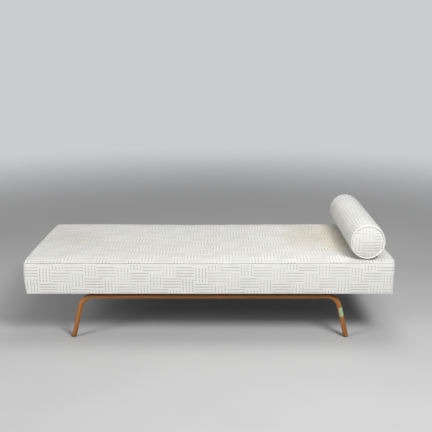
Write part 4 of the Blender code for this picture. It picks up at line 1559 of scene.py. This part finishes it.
class DAYBED_OT_stage(bpy.types.Operator):
    """Set up the floor, the soft light and the camera"""

    bl_idname = "daybed.stage"
    bl_label = "Stage"

    def execute(self, context):
        scene = context.scene
        stage = scene.daybed_stage
        scene.view_settings.view_transform = "Standard"
        self.floor(stage)
        self.sky(scene, stage)
        self.lamp("key_light", (1.5, -2.6, 3.1), 1.2, stage.key_power)
        self.lamp("fill_light", (-3.2, -2.6, 2.0), 1.4, stage.fill_power)
        self.lamp("top_light", (0.5, 0.3, 3.5), 1.6, stage.top_power)
        data = bpy.data.cameras.new("camera")
        data.lens = stage.lens
        data.sensor_width = 36.0
        scene.camera = link(bpy.data.objects.new("camera", data))
        scene.camera.location = stage.camera_place
        scene.camera.rotation_euler = (math.pi / 2 - stage.camera_tilt, 0.0, 0.0)
        return {"FINISHED"}

    def floor(self, stage):
        """Wide plain floor, very faintly uneven, that fades into the backdrop's colour."""
        sides = 64
        points, faces = skin([circle(0.0, 0.0, 0.0, r, sides) for r in (0.6, 3.0, 9.0, 60.0)], caps=False)
        faces.append(tuple(range(sides)))
        b = Finish("pale_floor", Roughness=0.75)
        place = b.solid_place()
        cloud = b.ease(b.noise(place, 1.6, 4.0), 0.3, 0.7)
        b.set("Base Color", b.tint(cloud, stage.floor, darker(stage.floor, 0.97)))
        far = b.math("MULTIPLY", b.ease(b.vector("LENGTH", place), 1.8, 7.0), b.seen())
        haze = b.add("ShaderNodeEmission", None, {"Color": stage.backdrop}).outputs[0]
        mix = b.add("ShaderNodeMixShader", None, {0: far, 1: b.shader.outputs[0], 2: haze}).outputs[0]
        b.feed(b.tree.nodes["Material Output"].inputs["Surface"], mix)
        make_object("floor", points, faces, [b.material], smooth=False)

    def sky(self, scene, stage):
        """Even light from all round; the camera and reflections see the plain backdrop colour."""
        scene.world = bpy.data.worlds.new("studio")
        b = Bench(scene.world)
        b.tree.nodes.clear()
        even = {"Color": (1.0, 1.0, 1.0), "Strength": stage.sky}
        lit = b.add("ShaderNodeBackground", None, even).outputs[0]
        shown = b.add("ShaderNodeBackground", None, {"Color": stage.backdrop}).outputs[0]
        mix = b.add("ShaderNodeMixShader", None, {0: b.seen(), 1: lit, 2: shown}).outputs[0]
        b.add("ShaderNodeOutputWorld", None, {"Surface": mix})

    def lamp(self, name, place, size, power):
        """Large soft lamp that points at the daybed."""
        data = bpy.data.lights.new(name, "AREA")
        data.shape = "SQUARE"
        data.size = size
        data.energy = power
        target = Vector((0.0, 0.0, 0.35))
        lamp = link(bpy.data.objects.new(name, data))
        lamp.location = place
        lamp.rotation_euler = (target - Vector(place)).to_track_quat("-Z", "Y").to_euler()


class DAYBED_PT_pieces(bpy.types.Panel):
    """Settings and pieces of the daybed"""

    bl_idname = "DAYBED_PT_pieces"
    bl_label = "Daybed"
    bl_space_type = "VIEW_3D"
    bl_region_type = "UI"
    bl_category = "Daybed"

    def draw(self, context):
        for group in GROUPS:
            settings = getattr(context.scene, group)
            box = self.layout.box()
            for name in settings.__annotations__:
                box.prop(settings, name)
        for operator in OPERATORS:
            self.layout.operator(operator.bl_idname)


GROUPS = {
    "daybed_cloth": DaybedCloth,
    "daybed_body": DaybedBody,
    "daybed_bolster": DaybedBolster,
    "daybed_wood": DaybedWood,
    "daybed_stage": DaybedStage,
}
OPERATORS = (
    DAYBED_OT_stage,
    DAYBED_OT_bent_frames,
    DAYBED_OT_saddle_blocks,
    DAYBED_OT_glides,
    DAYBED_OT_base_frame,
    DAYBED_OT_seat_filling,
    DAYBED_OT_upholstery,
    DAYBED_OT_dust_cover,
    DAYBED_OT_bolster,
    DAYBED_OT_paper_band,
)


def register():
    """Make the settings, operators and panel known to Blender."""
    for name, group in GROUPS.items():
        bpy.utils.register_class(group)
        setattr(bpy.types.Scene, name, PointerProperty(type=group))
    for operator in OPERATORS:
        bpy.utils.register_class(operator)
    bpy.utils.register_class(DAYBED_PT_pieces)


def unregister():
    """Take them away again."""
    bpy.utils.unregister_class(DAYBED_PT_pieces)
    for operator in reversed(OPERATORS):
        bpy.utils.unregister_class(operator)
    for name, group in reversed(GROUPS.items()):
        delattr(bpy.types.Scene, name)
        bpy.utils.unregister_class(group)


def main():
    """Dress the daybed."""
    register()
    bpy.ops.daybed.stage()
    bpy.ops.daybed.bent_frames()
    bpy.ops.daybed.saddle_blocks()
    bpy.ops.daybed.glides()
    bpy.ops.daybed.base_frame()
    bpy.ops.daybed.seat_filling()
    bpy.ops.daybed.upholstery()
    bpy.ops.daybed.dust_cover()
    bpy.ops.daybed.bolster()
    bpy.ops.daybed.paper_band()


if __name__ == "__main__":
    main()
